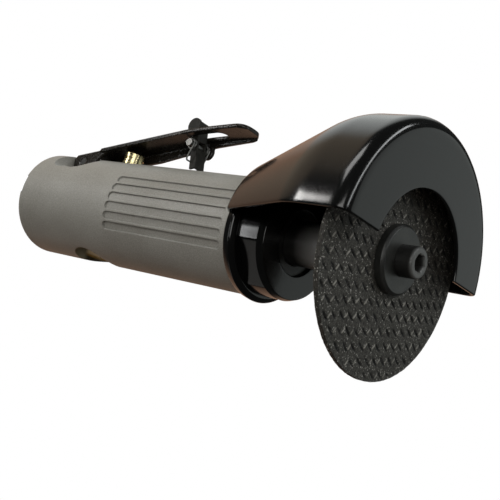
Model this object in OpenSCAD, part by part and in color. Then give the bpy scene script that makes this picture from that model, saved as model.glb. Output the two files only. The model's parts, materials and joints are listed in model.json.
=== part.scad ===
// Pneumatic cut-off tool: +X runs forward to the wheel, +Z points up to the lever.
// The origin is the mouth of the air inlet, on the spindle's axis.

/* [Housing] */
// Length of the housing
housing_len = 115; // [112:1:125]
// Outer radius of the housing
housing_r = 20.3; // [20:0.1:22]
// Rounding of the housing's rear rim
rear_round = 2; // [1:0.1:3]
// Rounding of the housing's front rim
front_round = 1; // [0.5:0.1:1.5]
// Wall of the housing round the motor
housing_wall = 3.5; // [3:0.1:3.8]
// Depth of the flat under the lever, from the housing's top line
lever_flat_depth = 1.7; // [1.3:0.1:1.9]
// Start of the flat, from the rear face
lever_flat_start = 27; // [25:0.5:30]
// Distance of the flat's end from the front face
lever_flat_end = 11; // [6:0.5:14]

/* [Grip grooves] */
// Grooves on each side
groove_count = 6; // [3:1:7]
// Angle between two grooves
groove_step = 10.67; // [10:0.1:13]
// Width of a groove
groove_w = 2.9; // [2:0.1:3]
// Depth of a groove
groove_depth = 0.7; // [0.4:0.1:1]
// Start of the grooves, from the rear face
groove_start = 53.5; // [50:0.5:60]
// Distance of the grooves' end from the front face
groove_end = 2.5; // [2:0.5:8]

/* [Air inlet] */
// Length of the hexagon behind the housing
inlet_hex_len = 6; // [5:0.5:9]
// Width across the hexagon's flats
inlet_hex_af = 17; // [16.8:0.1:19]
// Radius of the female pipe thread
inlet_thread_r = 5.55; // [5:0.05:5.8]
// Depth of the female pipe thread
inlet_thread_len = 12; // [10:0.5:13]
// Radius of the bushing's shank
inlet_shank_r = 8; // [7.6:0.1:8.1]
// Length of the shank in the housing
inlet_shank_len = 14; // [13:0.5:16]
// Radius of the air passage
air_r = 4; // [3:0.1:4.2]

/* [Throttle] */
// Distance of the valve's axis from the rear face
stem_offset = 37.2; // [36.8:0.1:38]
// Radius of the brass stem
stem_r = 4; // [3.4:0.1:4.2]
// Radius of the guide bushing
guide_r = 6; // [5.6:0.1:6.4]
// Height of the valve seat
seat_z = 6; // [5:0.1:7]
// Height of the throat above the seat
throat_h = 4; // [3.8:0.1:5]
// Radius of the valve chamber
chamber_r = 9; // [8.5:0.1:9.4]
// Radius of the poppet
poppet_r = 6.5; // [6:0.1:7]
// Thickness of the poppet
poppet_t = 3; // [2:0.1:3.5]

/* [Regulator] */
// Radius of the bore in the housing's underside
regulator_bore_r = 10; // [9.8:0.1:10.4]
// Depth of the plug's face under the housing's lowest line
regulator_sink = 5.3; // [5:0.1:6]
// Thickness of the plug
regulator_t = 6; // [5:0.1:6.2]
// Wall between the plug's bore and the motor
valve_wall = 5.3; // [4:0.1:7]

/* [Lever] */
// Distance of the lever's pin from the rear face
lever_pin_offset = 14.1; // [13.8:0.1:14.6]
// Depth of the lever's pin under the housing's top line
lever_pin_sink = 2; // [1.7:0.1:2.3]
// Radius of the lever's pin
lever_pin_r = 1.5; // [1.2:0.1:1.8]
// Rise of the lever along its length, in degrees
lever_slope = 13.6; // [13:0.1:14.5]
// Width of the channel
lever_w = 12.5; // [12.2:0.1:13.5]
// Thickness of the sheet
sheet = 1.3; // [1:0.1:1.4]
// Height of the channel's back over the pin, square to the slope
lever_rise = 3.5; // [3.4:0.1:3.9]
// Depth of the side wall at the rear
wall_rear = 4.8; // [4.2:0.1:5]
// Depth of the side wall at its deepest place
wall_deep = 5.2; // [4.8:0.1:5.4]
// Depth of the side wall at the tip
wall_tip = 1.7; // [1.4:0.1:2]
// Length of the straight run from the pin
lever_straight = 53.4; // [50:0.2:56]
// Radius of the gentle bend
lever_bend_r = 114; // [100:2:200]
// Length of the gentle bend
lever_bend_len = 25; // [24:0.5:30]
// Radius of the curled tip
tip_curl_r = 40; // [20:1:60]
// Length of the curled tip
tip_curl_len = 5; // [3:0.5:6]

/* [Safety catch] */
// Place of the catch's pin along the lever, from the lever's pin
catch_along = 57.15; // [56.5:0.05:58]
// Distance of the catch's pin under the lever's back
catch_under = 5; // [4.8:0.05:5.3]
// Radius of the catch's pin
catch_pin_r = 0.9; // [0.7:0.05:1]
// Width of the catch
catch_w = 5.2; // [4.6:0.1:5.3]
// Sheet of the catch
catch_sheet = 0.9; // [0.7:0.1:1]
// Distance from the pin to the web's front face
catch_face = 1.5; // [1.4:0.05:1.7]
// Depth of the leg from front to rear
catch_depth = 2.8; // [2.6:0.1:3]
// Gap under the foot, along the height, with the lever up
catch_foot_gap = 2.5; // [2.4:0.1:3.4]
// Height of the head's centre over the pin
catch_head = 8.4; // [8:0.1:8.6]
// Radius of the head
catch_head_r = 3.1; // [2.8:0.1:3.2]
// Lean of the catch against the vertical, in degrees
catch_lean = 15.3; // [14.5:0.1:16]

/* [Motor] */
// Least wall of the cylinder liner
liner_wall = 2.25; // [2:0.05:2.7]
// Offset of the liner's bore from the rotor's axis
liner_offset = 1.1; // [0.8:0.1:1.3]
// Thickness of the rear end plate
rear_plate_t = 8; // [7.6:0.1:8.5]
// Thickness of the front end plate
front_plate_t = 3; // [2.5:0.1:4]
// Number of vanes
vane_count = 4; // [4:1:4]
// Thickness of a vane
vane_t = 1.5; // [1:0.1:2]
// Height of a vane
vane_h = 5.4; // [4:0.1:5.6]

/* [Nose and guard] */
// Width across the nose nut's flats
nut_af = 33.6; // [33:0.1:36]
// Length of the nose nut's hexagon
nut_hex_len = 9; // [8.6:0.1:11]
// Turn of the hexagon about the axis, in degrees
nut_turn = -13; // [-30:1:30]
// Length of the thread in the housing
nut_thread_len = 11; // [9:0.5:11.5]
// Length of the guard's collar
collar_len = 6.5; // [6:0.1:8]
// Step from the housing up to the guard's collar
collar_step = 1.6; // [1.2:0.1:2.3]
// Step from the motor's bore up to the nut's shoulder in the collar
shoulder_step = 0.7; // [0.6:0.1:1.2]
// Gap between the wheel's rim and the guard
wheel_gap = 4; // [3.4:0.1:6]
// Gap between the wheel and the guard's front plate
plate_gap = 7; // [4.5:0.1:8]
// Sheet of the guard
guard_sheet = 1.5; // [1.2:0.1:1.8]
// Height of the guard's lower edge over the axis
guard_edge_z = 1.5; // [0:0.1:4]
// Radius of the arch in the front plate
arch_r = 24.9; // [22:0.1:28]
// Drop of the arch's centre under the axis
arch_drop = 2.8; // [0:0.1:4]

/* [Wheel] */
// Radius of the cutting wheel
wheel_r = 38.1; // [36:0.1:39]
// Thickness of the cutting wheel
wheel_t = 1.6; // [1:0.1:2]
// Radius of the wheel's bore
wheel_bore_r = 4.78; // [4.6:0.01:5]
// Distance from the nose nut to the wheel
hub_reach = 34.4; // [33.5:0.1:35]
// Radius of the hub
hub_r = 7.5; // [7.2:0.1:7.8]
// Radius of both flanges
flange_r = 11; // [10:0.1:12]
// Thickness of the inner flange
inner_flange_t = 4; // [3:0.1:5]
// Thickness of the outer flange
outer_flange_t = 3.2; // [2.5:0.1:3.6]
// Radius of the wheel screw
screw_r = 3; // [2.5:0.1:3]
// Length of the wheel screw's shank
screw_len = 18; // [14:0.5:18.5]
// Radius of the wheel screw's head
screw_head_r = 5; // [4.6:0.1:5.4]
// Height of the wheel screw's head
screw_head_h = 5.9; // [5:0.1:6.5]

/* [Hidden] */
$fn = 64;
small_fn = 32;

// Clearances and the overrun of cuts
fit = 0.03;
slip = 0.05;
free_gap = 0.3;
cut = 1;
tiny = 0.2;

// Stations along the axis
rear_x = inlet_hex_len;
front_x = rear_x + housing_len;
stem_x = rear_x + stem_offset;
gasket_t = 0.5;
floor_x = stem_x + regulator_bore_r + valve_wall;
rear_plate_x = floor_x + gasket_t;
liner_x = rear_plate_x + rear_plate_t;
nut_x = front_x - nut_thread_len;
front_plate_x = nut_x - front_plate_t;
liner_len = front_plate_x - liner_x;
hex_x = front_x + collar_len;
nose_x = hex_x + nut_hex_len;
wheel_x = nose_x + hub_reach;
wheel_front_x = wheel_x + wheel_t;
screw_x = wheel_front_x + outer_flange_t;

// Radii and heights that follow the housing
motor_bore_r = housing_r - housing_wall;
stack_r = motor_bore_r - slip;
rotor_r = stack_r - liner_wall - 2 * liner_offset - slip;
lever_flat_z = housing_r - lever_flat_depth;
lever_pin_z = housing_r - lever_pin_sink;

// Rear ball bearing
rear_shaft_r = 3;
rear_bearing_r = 9.5;
rear_bearing_w = 6;
rear_inner_r = 4.8;
rear_outer_r = 7.9;
rear_ball_r = 1.75;
rear_ring_r = (rear_inner_r + rear_outer_r) / 2;

// Front ball bearing and the dust shield in front of it
front_shaft_r = 4;
front_bearing_r = 11;
front_bearing_w = 7;
front_inner_r = 6.05;
front_outer_r = 9.6;
front_ball_r = 1.98;
front_ring_r = (front_inner_r + front_outer_r) / 2;
ball_count = 7;
cage_t = 0.8;
cage_rim = 0.5;
dust_recess = 1.5;
dust_t = 1.5;
front_bearing_x = nose_x - dust_recess - dust_t - front_bearing_w;

// Inlet details
shank_bore_r = inlet_shank_r + slip;
inlet_seal_minor = 0.6;
inlet_seal_seat_r = inlet_shank_r + 2 * inlet_seal_minor + tiny;
inlet_seal_seat_t = 2 * inlet_seal_minor + 2 * slip;
screen_t = 0.8;
screen_r = inlet_thread_r - free_gap;
screen_hole_r = 0.8;
screen_ring_r = 3;
screen_hole_count = 6;
inlet_chamfer = 0.8;

// Exhaust ports on both sides of the inlet
exhaust_r = 2.2;
exhaust_wall = 0.75;
exhaust_y = stack_r - exhaust_wall - exhaust_r;
exhaust_z = 1.75;
notch_w = 7;
notch_depth = 2;
silencer_len = 6;

// Delivery port from the throat to the motor
port_r = 1.8;
port_rim = 1.2;
port_z = stack_r - port_rim - port_r;
seat_w = 1.5;
throat_r = poppet_r - seat_w;
guide_z = seat_z + throat_h;
port_start_z = seat_z + throat_h / 2;
port_run = floor_x - stem_x;
port_tilt = atan2(port_z - port_start_z, port_run);

// Throttle valve
seal_t = 1;
neck_r = 2.4;
stem_chamfer = 0.7;
stem_groove_w = 0.8;
stem_groove_depth = 0.35;
stem_head_h = 2.4;
poppet_top_z = seat_z - seal_t;
poppet_low_z = poppet_top_z - poppet_t;

// Regulator
regulator_r = regulator_bore_r - slip;
regulator_low_z = -housing_r + regulator_sink;
regulator_top_z = regulator_low_z + regulator_t;
regulator_slot_w = 1.6;
regulator_slot_depth = 1.5;
regulator_seal_minor = 0.7;
regulator_seal_z = regulator_low_z + regulator_t / 2;
clip_t = 1;
clip_w = 1.8;
clip_groove = 0.6;
clip_open = 30;
clip_top_z = regulator_low_z - 2 * slip;

// Springs
throttle_wire_r = 0.5;
throttle_coil_r = 4.2;
throttle_turns = 5;
coil_rings = 8;
wire_sides = 6;
catch_wire_r = 0.3;
catch_coil_r = 1.75;
catch_coil_turns = 1.3;
catch_coil_pitch = 1;

// Lever, in its own frame: origin at its pin, first axis along the slope, second square to it
lever_pin_x = rear_x + lever_pin_offset;
lever_tip_s = lever_straight + lever_bend_len + tip_curl_len;
joggle_top = 10.4;
joggle_low = 5.6;
wall_deep_share = 0.35;
wall_deep_s = joggle_low + (lever_tip_s - joggle_low) * wall_deep_share;
ear_low = 2.5;
ear_high = 3.1;
ear_tail = 5.6;
ear_corner = 1.6;
tongue_w = 8;
ear_in = tongue_w / 2 + tiny;
ear_out = ear_in + sheet;
wall_in = lever_w / 2 - sheet;
window_back = 3.4;
window_ahead = 13.2;
window_start = catch_along - window_back;
window_end = catch_along + window_ahead;
window_w = catch_w + 2 * free_gap;
catch_ear_r = 2.75;
bend_steps = 10;
curl_steps = 6;

// Scallops beside the tongue
scallop_r = 11;
scallop_offset = 20.5;
scallop_depth = 8.5;
scallop_low_z = housing_r - scallop_depth;
ear_swing_r = sqrt(pow(ear_tail, 2) + pow(ear_high, 2)) + free_gap;

// Safety catch
catch_b = lever_rise - catch_under;
catch_x = lever_pin_x + catch_along * cos(lever_slope) - catch_b * sin(lever_slope);
catch_z = lever_pin_z + catch_along * sin(lever_slope) + catch_b * cos(lever_slope);
catch_leg = (catch_z - lever_flat_z - catch_foot_gap) / cos(catch_lean);
head_back = 1.2;
web_over = 1.4;
web_top = catch_head + web_over;
web_gap = 1.6;
catch_pin_head_r = 1.5;
catch_pin_head_t = 0.6;

// Motor details
liner_bore_r = rotor_r + liner_offset + slip;
shaft_gap = 0.3;
rotor_end_gap = 0.1;
slot_w = vane_t + 2 * slip;
vane_top_r = rotor_r - tiny;
vane_low_r = vane_top_r - vane_h;
dowel_r = 1.2;
dowel_z = -(rotor_r + stack_r) / 2;

// Nose nut, guard and hub
nut_bore_gap = 1;
nut_bore_r = front_shaft_r + nut_bore_gap;
nut_chamfer = 1.5;
nut_corner_r = nut_af / 2 / cos(30);
shoulder_r = motor_bore_r + shoulder_step;
collar_r = housing_r + collar_step;
guard_r = wheel_r + wheel_gap + guard_sheet;
guard_len = wheel_front_x - front_x + plate_gap + guard_sheet;
guard_play = 0.05;
shoulder_run_share = 0.051;
shoulder_rise_share = 0.2;
guard_band_share = 0.667;
guard_shoulder_round = 4;
guard_band_round = 22;
guard_edge_round = 4.5;
arc_steps = 8;
shaft_in_hub = 17;
hub_boss_step = 0.4;
hub_boss_r = front_inner_r - hub_boss_step;
hub_boss_t = 0.5;
hub_flat_af = 12.5;
hub_flat_len = 8;
pilot_r = wheel_bore_r - fit;
pilot_len = wheel_t - tiny;
flange_chamfer = 0.9;
screw_hole_gap = 0.1;
screw_hole_r = screw_r + screw_hole_gap;
socket_af = 5;
socket_depth = 3.2;
screw_chamfer = 0.5;

VANES = [for (i = [1:vane_count]) str("vane_", i)];

// Colours
grey_paint = [0.44, 0.43, 0.41];
gloss_black = [0.05, 0.05, 0.05];
dark_steel = [0.2, 0.2, 0.2];
steel = [0.62, 0.62, 0.63];
brass = [0.75, 0.65, 0.35];
rubber = [0.08, 0.08, 0.08];
abrasive = [0.19, 0.18, 0.16];
phenolic = [0.45, 0.3, 0.15];
bronze = [0.55, 0.42, 0.25];

// Puts a shape that stands on Z at x along the axis, pointing forward
module along_x(x) {
    translate([x, 0, 0]) rotate([0, 90, 0]) children();
}

// Solid of revolution about the tool's axis from [radius, x] points
module turned(points) {
    rotate([0, 90, 0]) rotate_extrude() polygon(points);
}

// Plain ring along the axis
module ring_x(x, len, r_in, r_out) {
    turned([[r_in, x], [r_out, x], [r_out, x + len], [r_in, x + len]]);
}

// Upright ring
module ring_z(z, h, r_in, r_out) {
    translate([0, 0, z]) rotate_extrude() polygon([[r_in, 0], [r_out, 0], [r_out, h], [r_in, h]]);
}

// Shape drawn as [x, z] in side view, given a width in y
module side_plate(y0, y1) {
    translate([0, y1, 0]) rotate([90, 0, 0]) linear_extrude(y1 - y0) children();
}

// Slot with round ends along x, as a flat outline
module slot_outline(x0, x1, w) {
    translate([x0 + w / 2, -w / 2]) square([x1 - x0 - w, w]);
    for (x = [x0 + w / 2, x1 - w / 2]) translate([x, 0]) circle(d = w, $fn = small_fn);
}

// Points of an arc in flat space
function arc(c, r, a0, a1, n) = [for (i = [0:n]) let (a = a0 + (a1 - a0) * i / n) c + r * [cos(a), sin(a)]];

function unit(v) = v / norm(v);

// Round a corner b between a and c with radius r, as points
function corner(a, b, c, r, n) = let (
    u = unit(a - b), v = unit(c - b), half = acos(u * v) / 2,
    m = b + unit(u + v) * r / sin(half),
    p = b + u * r / tan(half) - m, q = b + v * r / tan(half) - m,
    a0 = atan2(p[1], p[0]), turn = atan2(p[0] * q[1] - p[1] * q[0], p * q)
) arc(m, r, a0, a0 + turn, n);

// Flat path moved sideways by d, to the right of its run
function beside(path, d) = [for (i = [0:len(path) - 1]) let (
    a = path[max(i - 1, 0)], b = path[min(i + 1, len(path) - 1)], t = unit(b - a)
) path[i] + d * [t[1], -t[0]]];

// Round tube along a list of points, as one closed surface of triangles
module wire(path, r, sides) {
    count = len(path);
    tangents = [for (i = [0:count - 1]) unit(path[min(i + 1, count - 1)] - path[max(i - 1, 0)])];
    first = unit(cross(tangents[0], [0.37, 0.61, 0.7]));
    normals = [for (i = 0, n = first; i < count;
        i = i + 1, n = i < count ? unit(n - (n * tangents[i]) * tangents[i]) : n) n];
    points = [for (i = [0:count - 1], k = [0:sides - 1]) let (
        a = 360 * k / sides, side = cross(tangents[i], normals[i])
    ) path[i] + r * (cos(a) * normals[i] + sin(a) * side)];
    ends = [path[0], path[count - 1]];
    walls = [for (i = [0:count - 2], k = [0:sides - 1]) let (
        a = i * sides + k, b = i * sides + (k + 1) % sides
    ) each [[a, a + sides, b], [b, a + sides, b + sides]]];
    caps = [for (k = [0:sides - 1]) let (k2 = (k + 1) % sides, last = (count - 1) * sides
    ) each [[count * sides, k, k2], [count * sides + 1, last + k2, last + k]]];
    polyhedron(concat(points, ends), concat(walls, caps));
}

// Least gap of a wire to itself, between points more than one curl's half apart along it
function self_gap(path, r, apart) = min([
    for (i = [0:len(path) - 1], j = [i + apart:1:len(path) - 1]) norm(path[i] - path[j])]) - 2 * r;

// Ring of a ball bearing with its race
module bearing_ring(x, w, r_in, r_out, ring_r, ball_r) {
    difference() {
        ring_x(x, w, r_in, r_out);
        along_x(x + w / 2) rotate_extrude() translate([ring_r, 0]) circle(r = ball_r + fit, $fn = small_fn);
    }
}

// Balls of a bearing, evenly round its axis
module bearing_balls(x, ring_r, ball_r) {
    for (i = [0:ball_count - 1])
        translate([x, 0, 0]) rotate([360 * i / ball_count, 0, 0])
            translate([0, 0, ring_r]) sphere(r = ball_r, $fn = small_fn);
}

// Ring with a pocket round each ball, which keeps the balls apart
module bearing_cage(x, ring_r, ball_r) {
    half_w = ball_r + slip + cage_rim;
    difference() {
        ring_x(x - half_w, 2 * half_w, ring_r - cage_t / 2, ring_r + cage_t / 2);
        bearing_balls(x, ring_r, ball_r + slip);
    }
}

// Housing
module housing_blank() {
    rear = arc([housing_r - rear_round, rear_x + rear_round], rear_round, -90, 0, arc_steps);
    front = arc([housing_r - front_round, front_x - front_round], front_round, 0, 90, arc_steps);
    turned(concat([[0, rear_x]], rear, front, [[0, front_x]]));
}

module grip_grooves() {
    for (side = [0, 180], i = [0:groove_count - 1])
        rotate([side + (i - (groove_count - 1) / 2) * groove_step, 0, 0])
            translate([0, housing_r - groove_depth, 0]) rotate([-90, 0, 0]) linear_extrude(groove_depth + cut)
                slot_outline(rear_x + groove_start, front_x - groove_end, groove_w);
}

module scallop_outline() {
    translate([lever_pin_x, lever_pin_z]) circle(r = ear_swing_r);
    translate([rear_x + scallop_offset, scallop_low_z + scallop_r]) circle(r = scallop_r);
}

module housing_cuts() {
    along_x(floor_x) cylinder(r = motor_bore_r, h = front_x - floor_x + cut);
    along_x(rear_x - cut) cylinder(r = shank_bore_r, h = inlet_shank_len + cut);
    along_x(rear_x - cut) cylinder(r = inlet_seal_seat_r, h = inlet_seal_seat_t + cut);
    along_x(rear_x + inlet_shank_len - cut) cylinder(r = air_r, h = stem_x - rear_x - inlet_shank_len + cut);
    translate([stem_x, 0, -housing_r - cut])
        cylinder(r = regulator_bore_r, h = regulator_top_z + tiny + housing_r + cut);
    translate([stem_x, 0, regulator_top_z]) cylinder(r = chamber_r, h = seat_z - regulator_top_z);
    translate([stem_x, 0, seat_z - cut]) cylinder(r = throat_r, h = throat_h + cut + cut);
    translate([stem_x, 0, guide_z]) cylinder(r = guide_r + slip, h = housing_r);
    translate([stem_x, 0, clip_top_z - clip_t - slip])
        cylinder(r = regulator_bore_r + clip_groove, h = clip_t + 2 * slip);
    translate([stem_x, 0, port_start_z]) rotate([0, 90 - port_tilt, 0])
        cylinder(r = port_r, h = port_run / cos(port_tilt) + cut, $fn = small_fn);
    for (y = [-exhaust_y, exhaust_y])
        translate([0, y, exhaust_z]) along_x(rear_x - cut)
            cylinder(r = exhaust_r, h = floor_x - rear_x + cut + cut, $fn = small_fn);
    for (side = [-1, 1])
        translate([rear_x - cut, side * (exhaust_y + housing_r / 2) - housing_r / 2, exhaust_z - notch_w / 2])
            cube([notch_depth + cut, housing_r, notch_w]);
    translate([rear_x + lever_flat_start, -housing_r, lever_flat_z])
        cube([housing_len - lever_flat_start - lever_flat_end, 2 * housing_r, housing_r]);
    for (y = [[tongue_w / 2, housing_r + cut], [-housing_r - cut, -tongue_w / 2]])
        side_plate(y[0], y[1]) scallop_outline();
    translate([lever_pin_x, housing_r, lever_pin_z]) rotate([90, 0, 0])
        cylinder(r = lever_pin_r + fit, h = 2 * housing_r, $fn = small_fn);
    grip_grooves();
}

module housing() {
    color(grey_paint) difference() {
        housing_blank();
        housing_cuts();
    }
}

// Air inlet
module inlet_bushing() {
    color(dark_steel) difference() {
        union() {
            intersection() {
                rotate([0, 90, 0]) cylinder(r = inlet_hex_af / 2 / cos(30), h = inlet_hex_len, $fn = 6);
                turned([[0, 0], [inlet_hex_af / 2, 0], [inlet_hex_af / 2 / cos(30), inlet_chamfer],
                    [inlet_hex_af / 2 / cos(30), inlet_hex_len], [0, inlet_hex_len]]);
            }
            rotate([0, 90, 0]) cylinder(r = inlet_shank_r, h = inlet_hex_len + inlet_shank_len);
        }
        along_x(-cut) cylinder(r = inlet_thread_r, h = inlet_thread_len + cut);
        along_x(-cut) cylinder(r = screen_r + slip, h = inlet_thread_len + screen_t + cut);
        along_x(-cut) cylinder(r = air_r, h = inlet_hex_len + inlet_shank_len + cut + cut);
    }
}

module inlet_seal() {
    color(rubber) along_x(rear_x + inlet_seal_seat_t / 2) rotate_extrude()
        translate([inlet_shank_r + inlet_seal_minor + slip, 0]) circle(r = inlet_seal_minor, $fn = small_fn);
}

module inlet_screen() {
    color(steel) difference() {
        along_x(inlet_thread_len) cylinder(r = screen_r, h = screen_t);
        for (i = [0:screen_hole_count]) rotate([360 * i / screen_hole_count, 0, 0])
            translate([0, 0, i == screen_hole_count ? 0 : screen_ring_r]) along_x(inlet_thread_len - cut)
                cylinder(r = screen_hole_r, h = screen_t + cut + cut, $fn = small_fn);
    }
}

module exhaust_silencers() {
    color(bronze) for (y = [-exhaust_y, exhaust_y])
        translate([0, y, exhaust_z]) along_x(rear_x + notch_depth)
            cylinder(r = exhaust_r - slip, h = silencer_len, $fn = small_fn);
}

// Throttle valve
module throttle_bushing() {
    color(brass) translate([stem_x, 0, 0]) ring_z(guide_z, lever_flat_z - guide_z, stem_r + fit, guide_r);
}

function stem_top_z() = lever_pin_z + (stem_x - lever_pin_x) * tan(lever_slope)
    + (lever_rise - sheet) / cos(lever_slope) - stem_r * tan(lever_slope) - slip;

module throttle_stem() {
    top = stem_top_z();
    groove_z = top - stem_head_h;
    color(brass) translate([stem_x, 0, 0]) rotate_extrude() polygon([
        [0, poppet_low_z], [poppet_r, poppet_low_z], [poppet_r, poppet_top_z], [neck_r, poppet_top_z],
        [neck_r, guide_z], [stem_r, guide_z + stem_chamfer],
        [stem_r, groove_z - stem_groove_w], [stem_r - stem_groove_depth, groove_z - stem_groove_w],
        [stem_r - stem_groove_depth, groove_z], [stem_r, groove_z],
        [stem_r, top - stem_chamfer], [stem_r - stem_chamfer, top], [0, top]]);
}

module valve_seal() {
    color(rubber) translate([stem_x, 0, 0])
        ring_z(poppet_top_z, seal_t, neck_r + fit, poppet_r - tiny);
}

throttle_spring_low = regulator_top_z + throttle_wire_r + slip;
throttle_spring_high = poppet_low_z - throttle_wire_r - slip;
throttle_path = [for (i = [0:throttle_turns * coil_rings]) let (a = 360 * i / coil_rings) [
    stem_x + throttle_coil_r * cos(a), throttle_coil_r * sin(a),
    throttle_spring_low + (throttle_spring_high - throttle_spring_low) * i / (throttle_turns * coil_rings)]];

module throttle_spring() {
    color(steel) wire(throttle_path, throttle_wire_r, wire_sides);
}

// Regulator
module regulator() {
    groove_r = regulator_r - 2 * regulator_seal_minor - slip;
    color(brass) difference() {
        translate([stem_x, 0, regulator_low_z]) cylinder(r = regulator_r, h = regulator_t);
        translate([stem_x, 0, 0]) ring_z(regulator_seal_z - regulator_seal_minor - slip,
            2 * regulator_seal_minor + 2 * slip, groove_r, regulator_r + cut);
        translate([stem_x - regulator_r - cut, -regulator_slot_w / 2, regulator_low_z - cut])
            cube([2 * regulator_r + 2 * cut, regulator_slot_w, regulator_slot_depth + cut]);
    }
}

module regulator_seal() {
    color(rubber) translate([stem_x, 0, regulator_seal_z]) rotate_extrude()
        translate([regulator_r - regulator_seal_minor + slip / 2, 0])
            circle(r = regulator_seal_minor - slip / 2, $fn = small_fn);
}

module regulator_clip() {
    clip_r = regulator_bore_r + clip_groove - slip;
    color(dark_steel) translate([stem_x, 0, clip_top_z - clip_t])
        rotate([0, 0, clip_open / 2]) rotate_extrude(angle = 360 - clip_open)
            polygon([[clip_r - clip_w, 0], [clip_r, 0], [clip_r, clip_t], [clip_r - clip_w, clip_t]]);
}

// Lever: line of the channel's back, by distance along it from the pin
function lever_back(s) = let (
    bend = max(0, min(s - lever_straight, lever_bend_len)),
    curl = max(0, s - lever_straight - lever_bend_len),
    a1 = bend / lever_bend_r * 180 / PI, a2 = a1 + curl / tip_curl_r * 180 / PI
) [min(s, lever_straight) + lever_bend_r * sin(a1) + tip_curl_r * (sin(a2) - sin(a1)),
    lever_rise - lever_bend_r * (1 - cos(a1)) - tip_curl_r * (cos(a1) - cos(a2))];

function lever_turn(s) = (max(0, min(s - lever_straight, lever_bend_len)) / lever_bend_r
    + max(0, s - lever_straight - lever_bend_len) / tip_curl_r) * 180 / PI;

// Point under the back, square to it by the depth d
function lever_under(s, d) = lever_back(s) - d * [sin(lever_turn(s)), cos(lever_turn(s))];

function wall_depth(s) = s < wall_deep_s
    ? wall_rear + (wall_deep - wall_rear) * max(0, s - joggle_low) / (wall_deep_s - joggle_low)
    : wall_deep + (wall_tip - wall_deep) * (s - wall_deep_s) / (lever_tip_s - wall_deep_s);

// Stations along the back: the ends, the wall's deepest place and the bend and the curl in steps
function lever_stations(s0, s1) = concat([s0], [for (s = [wall_deep_s]) if (s > s0 && s < s1) s],
    [for (i = [0:bend_steps]) let (s = lever_straight + lever_bend_len * i / bend_steps)
        if (s > s0 && s < s1) s],
    [for (i = [1:curl_steps]) let (s = lever_tip_s - tip_curl_len * (1 - i / curl_steps))
        if (s > s0 && s < s1) s],
    [s1]);

function reversed(list) = [for (i = [len(list) - 1:-1:0]) list[i]];

// Side view of the band under the back between two depths, by default down to the wall's edge
module lever_band(top_start, low_start, end, depth, extra) {
    polygon(concat(
        [for (s = lever_stations(top_start, end)) lever_under(s, depth)],
        reversed([for (s = lever_stations(low_start, end)) lever_under(s, wall_depth(s) + extra)])));
}

// Plan of the back with its round tip
module lever_plan() {
    half = lever_w / 2;
    tip = lever_back(lever_tip_s)[0];
    translate([-cut, -half]) square([tip - half + cut, lever_w]);
    translate([tip - half, 0]) circle(r = half);
}

// Back with one side wall, which runs out at the tip
module lever_channel() {
    tall = lever_bend_r;
    difference() {
        intersection() {
            side_plate(-lever_w, lever_w) lever_band(joggle_top, joggle_low, lever_tip_s, 0, 0);
            translate([0, 0, -tall / 2]) linear_extrude(tall) lever_plan();
        }
        side_plate(-lever_w, wall_in) lever_band(0, 0, lever_tip_s + cut, sheet, cut);
        translate([0, 0, lever_rise - catch_under]) linear_extrude(2 * catch_under)
            slot_outline(window_start, window_end, window_w);
    }
}

module lever_ear_outline() {
    front = joggle_top + 2 * sheet;
    polygon([[-ear_tail, -ear_low], [-ear_tail, ear_high - ear_corner], [-ear_tail + ear_corner, ear_high],
        [front, ear_high], [front, lever_rise - sheet], [joggle_low + sheet, lever_rise - wall_rear],
        [0, -ear_low]]);
}

module catch_ear_outline() {
    translate([catch_along, catch_b]) circle(r = catch_ear_r);
    translate([catch_along - catch_ear_r, catch_b]) square([2 * catch_ear_r, catch_under - sheet / 2]);
}

module in_lever_frame() {
    translate([lever_pin_x, 0, lever_pin_z]) rotate([0, -lever_slope, 0]) children();
}

// Hole across the lever at a point of its side view
module cross_hole(at, r) {
    translate([at[0], lever_w, at[1]]) rotate([90, 0, 0]) cylinder(r = r, h = 2 * lever_w, $fn = small_fn);
}

module lever() {
    color(gloss_black) in_lever_frame() difference() {
        union() {
            lever_channel();
            for (y = [[ear_in, ear_out], [-ear_out, -ear_in]]) side_plate(y[0], y[1]) lever_ear_outline();
            side_plate(wall_in, wall_in + sheet) catch_ear_outline();
        }
        cross_hole([0, 0], lever_pin_r + fit);
        cross_hole([catch_along, catch_b], catch_pin_r + fit);
    }
}

module lever_pin() {
    color(dark_steel) translate([lever_pin_x, ear_out, lever_pin_z]) rotate([90, 0, 0])
        cylinder(r = lever_pin_r, h = 2 * ear_out, $fn = small_fn);
}

// Safety catch, drawn with the pin as origin, first axis forward, second up along the catch
module in_catch_frame() {
    translate([catch_x, 0, catch_z]) rotate([0, -catch_lean, 0]) children();
}

module catch_flange_outline() {
    translate([catch_face - catch_depth, -catch_leg]) square([catch_depth, catch_leg + catch_head]);
}

module catch_head_outline() {
    intersection() {
        translate([-head_back, catch_head]) circle(r = catch_head_r);
        translate([catch_face - 4 * catch_head_r, 0]) square([4 * catch_head_r, 3 * catch_head]);
    }
}

module safety_catch() {
    flange_y = catch_w / 2;
    color(dark_steel) in_catch_frame() difference() {
        union() {
            for (y = [[flange_y - catch_sheet, flange_y], [-flange_y, -flange_y + catch_sheet]])
                side_plate(y[0], y[1]) catch_flange_outline();
            side_plate(-flange_y, -flange_y + catch_sheet) catch_head_outline();
            side_plate(-flange_y, flange_y) translate([catch_face - catch_sheet, -catch_leg])
                square([catch_sheet, catch_leg + web_top]);
        }
        cross_hole([0, 0], catch_pin_r + fit);
        side_plate(-flange_y + catch_sheet, flange_y - catch_sheet) translate([-cut, -web_gap])
            square([catch_face + 2 * cut, 2 * web_gap]);
    }
}

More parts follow.
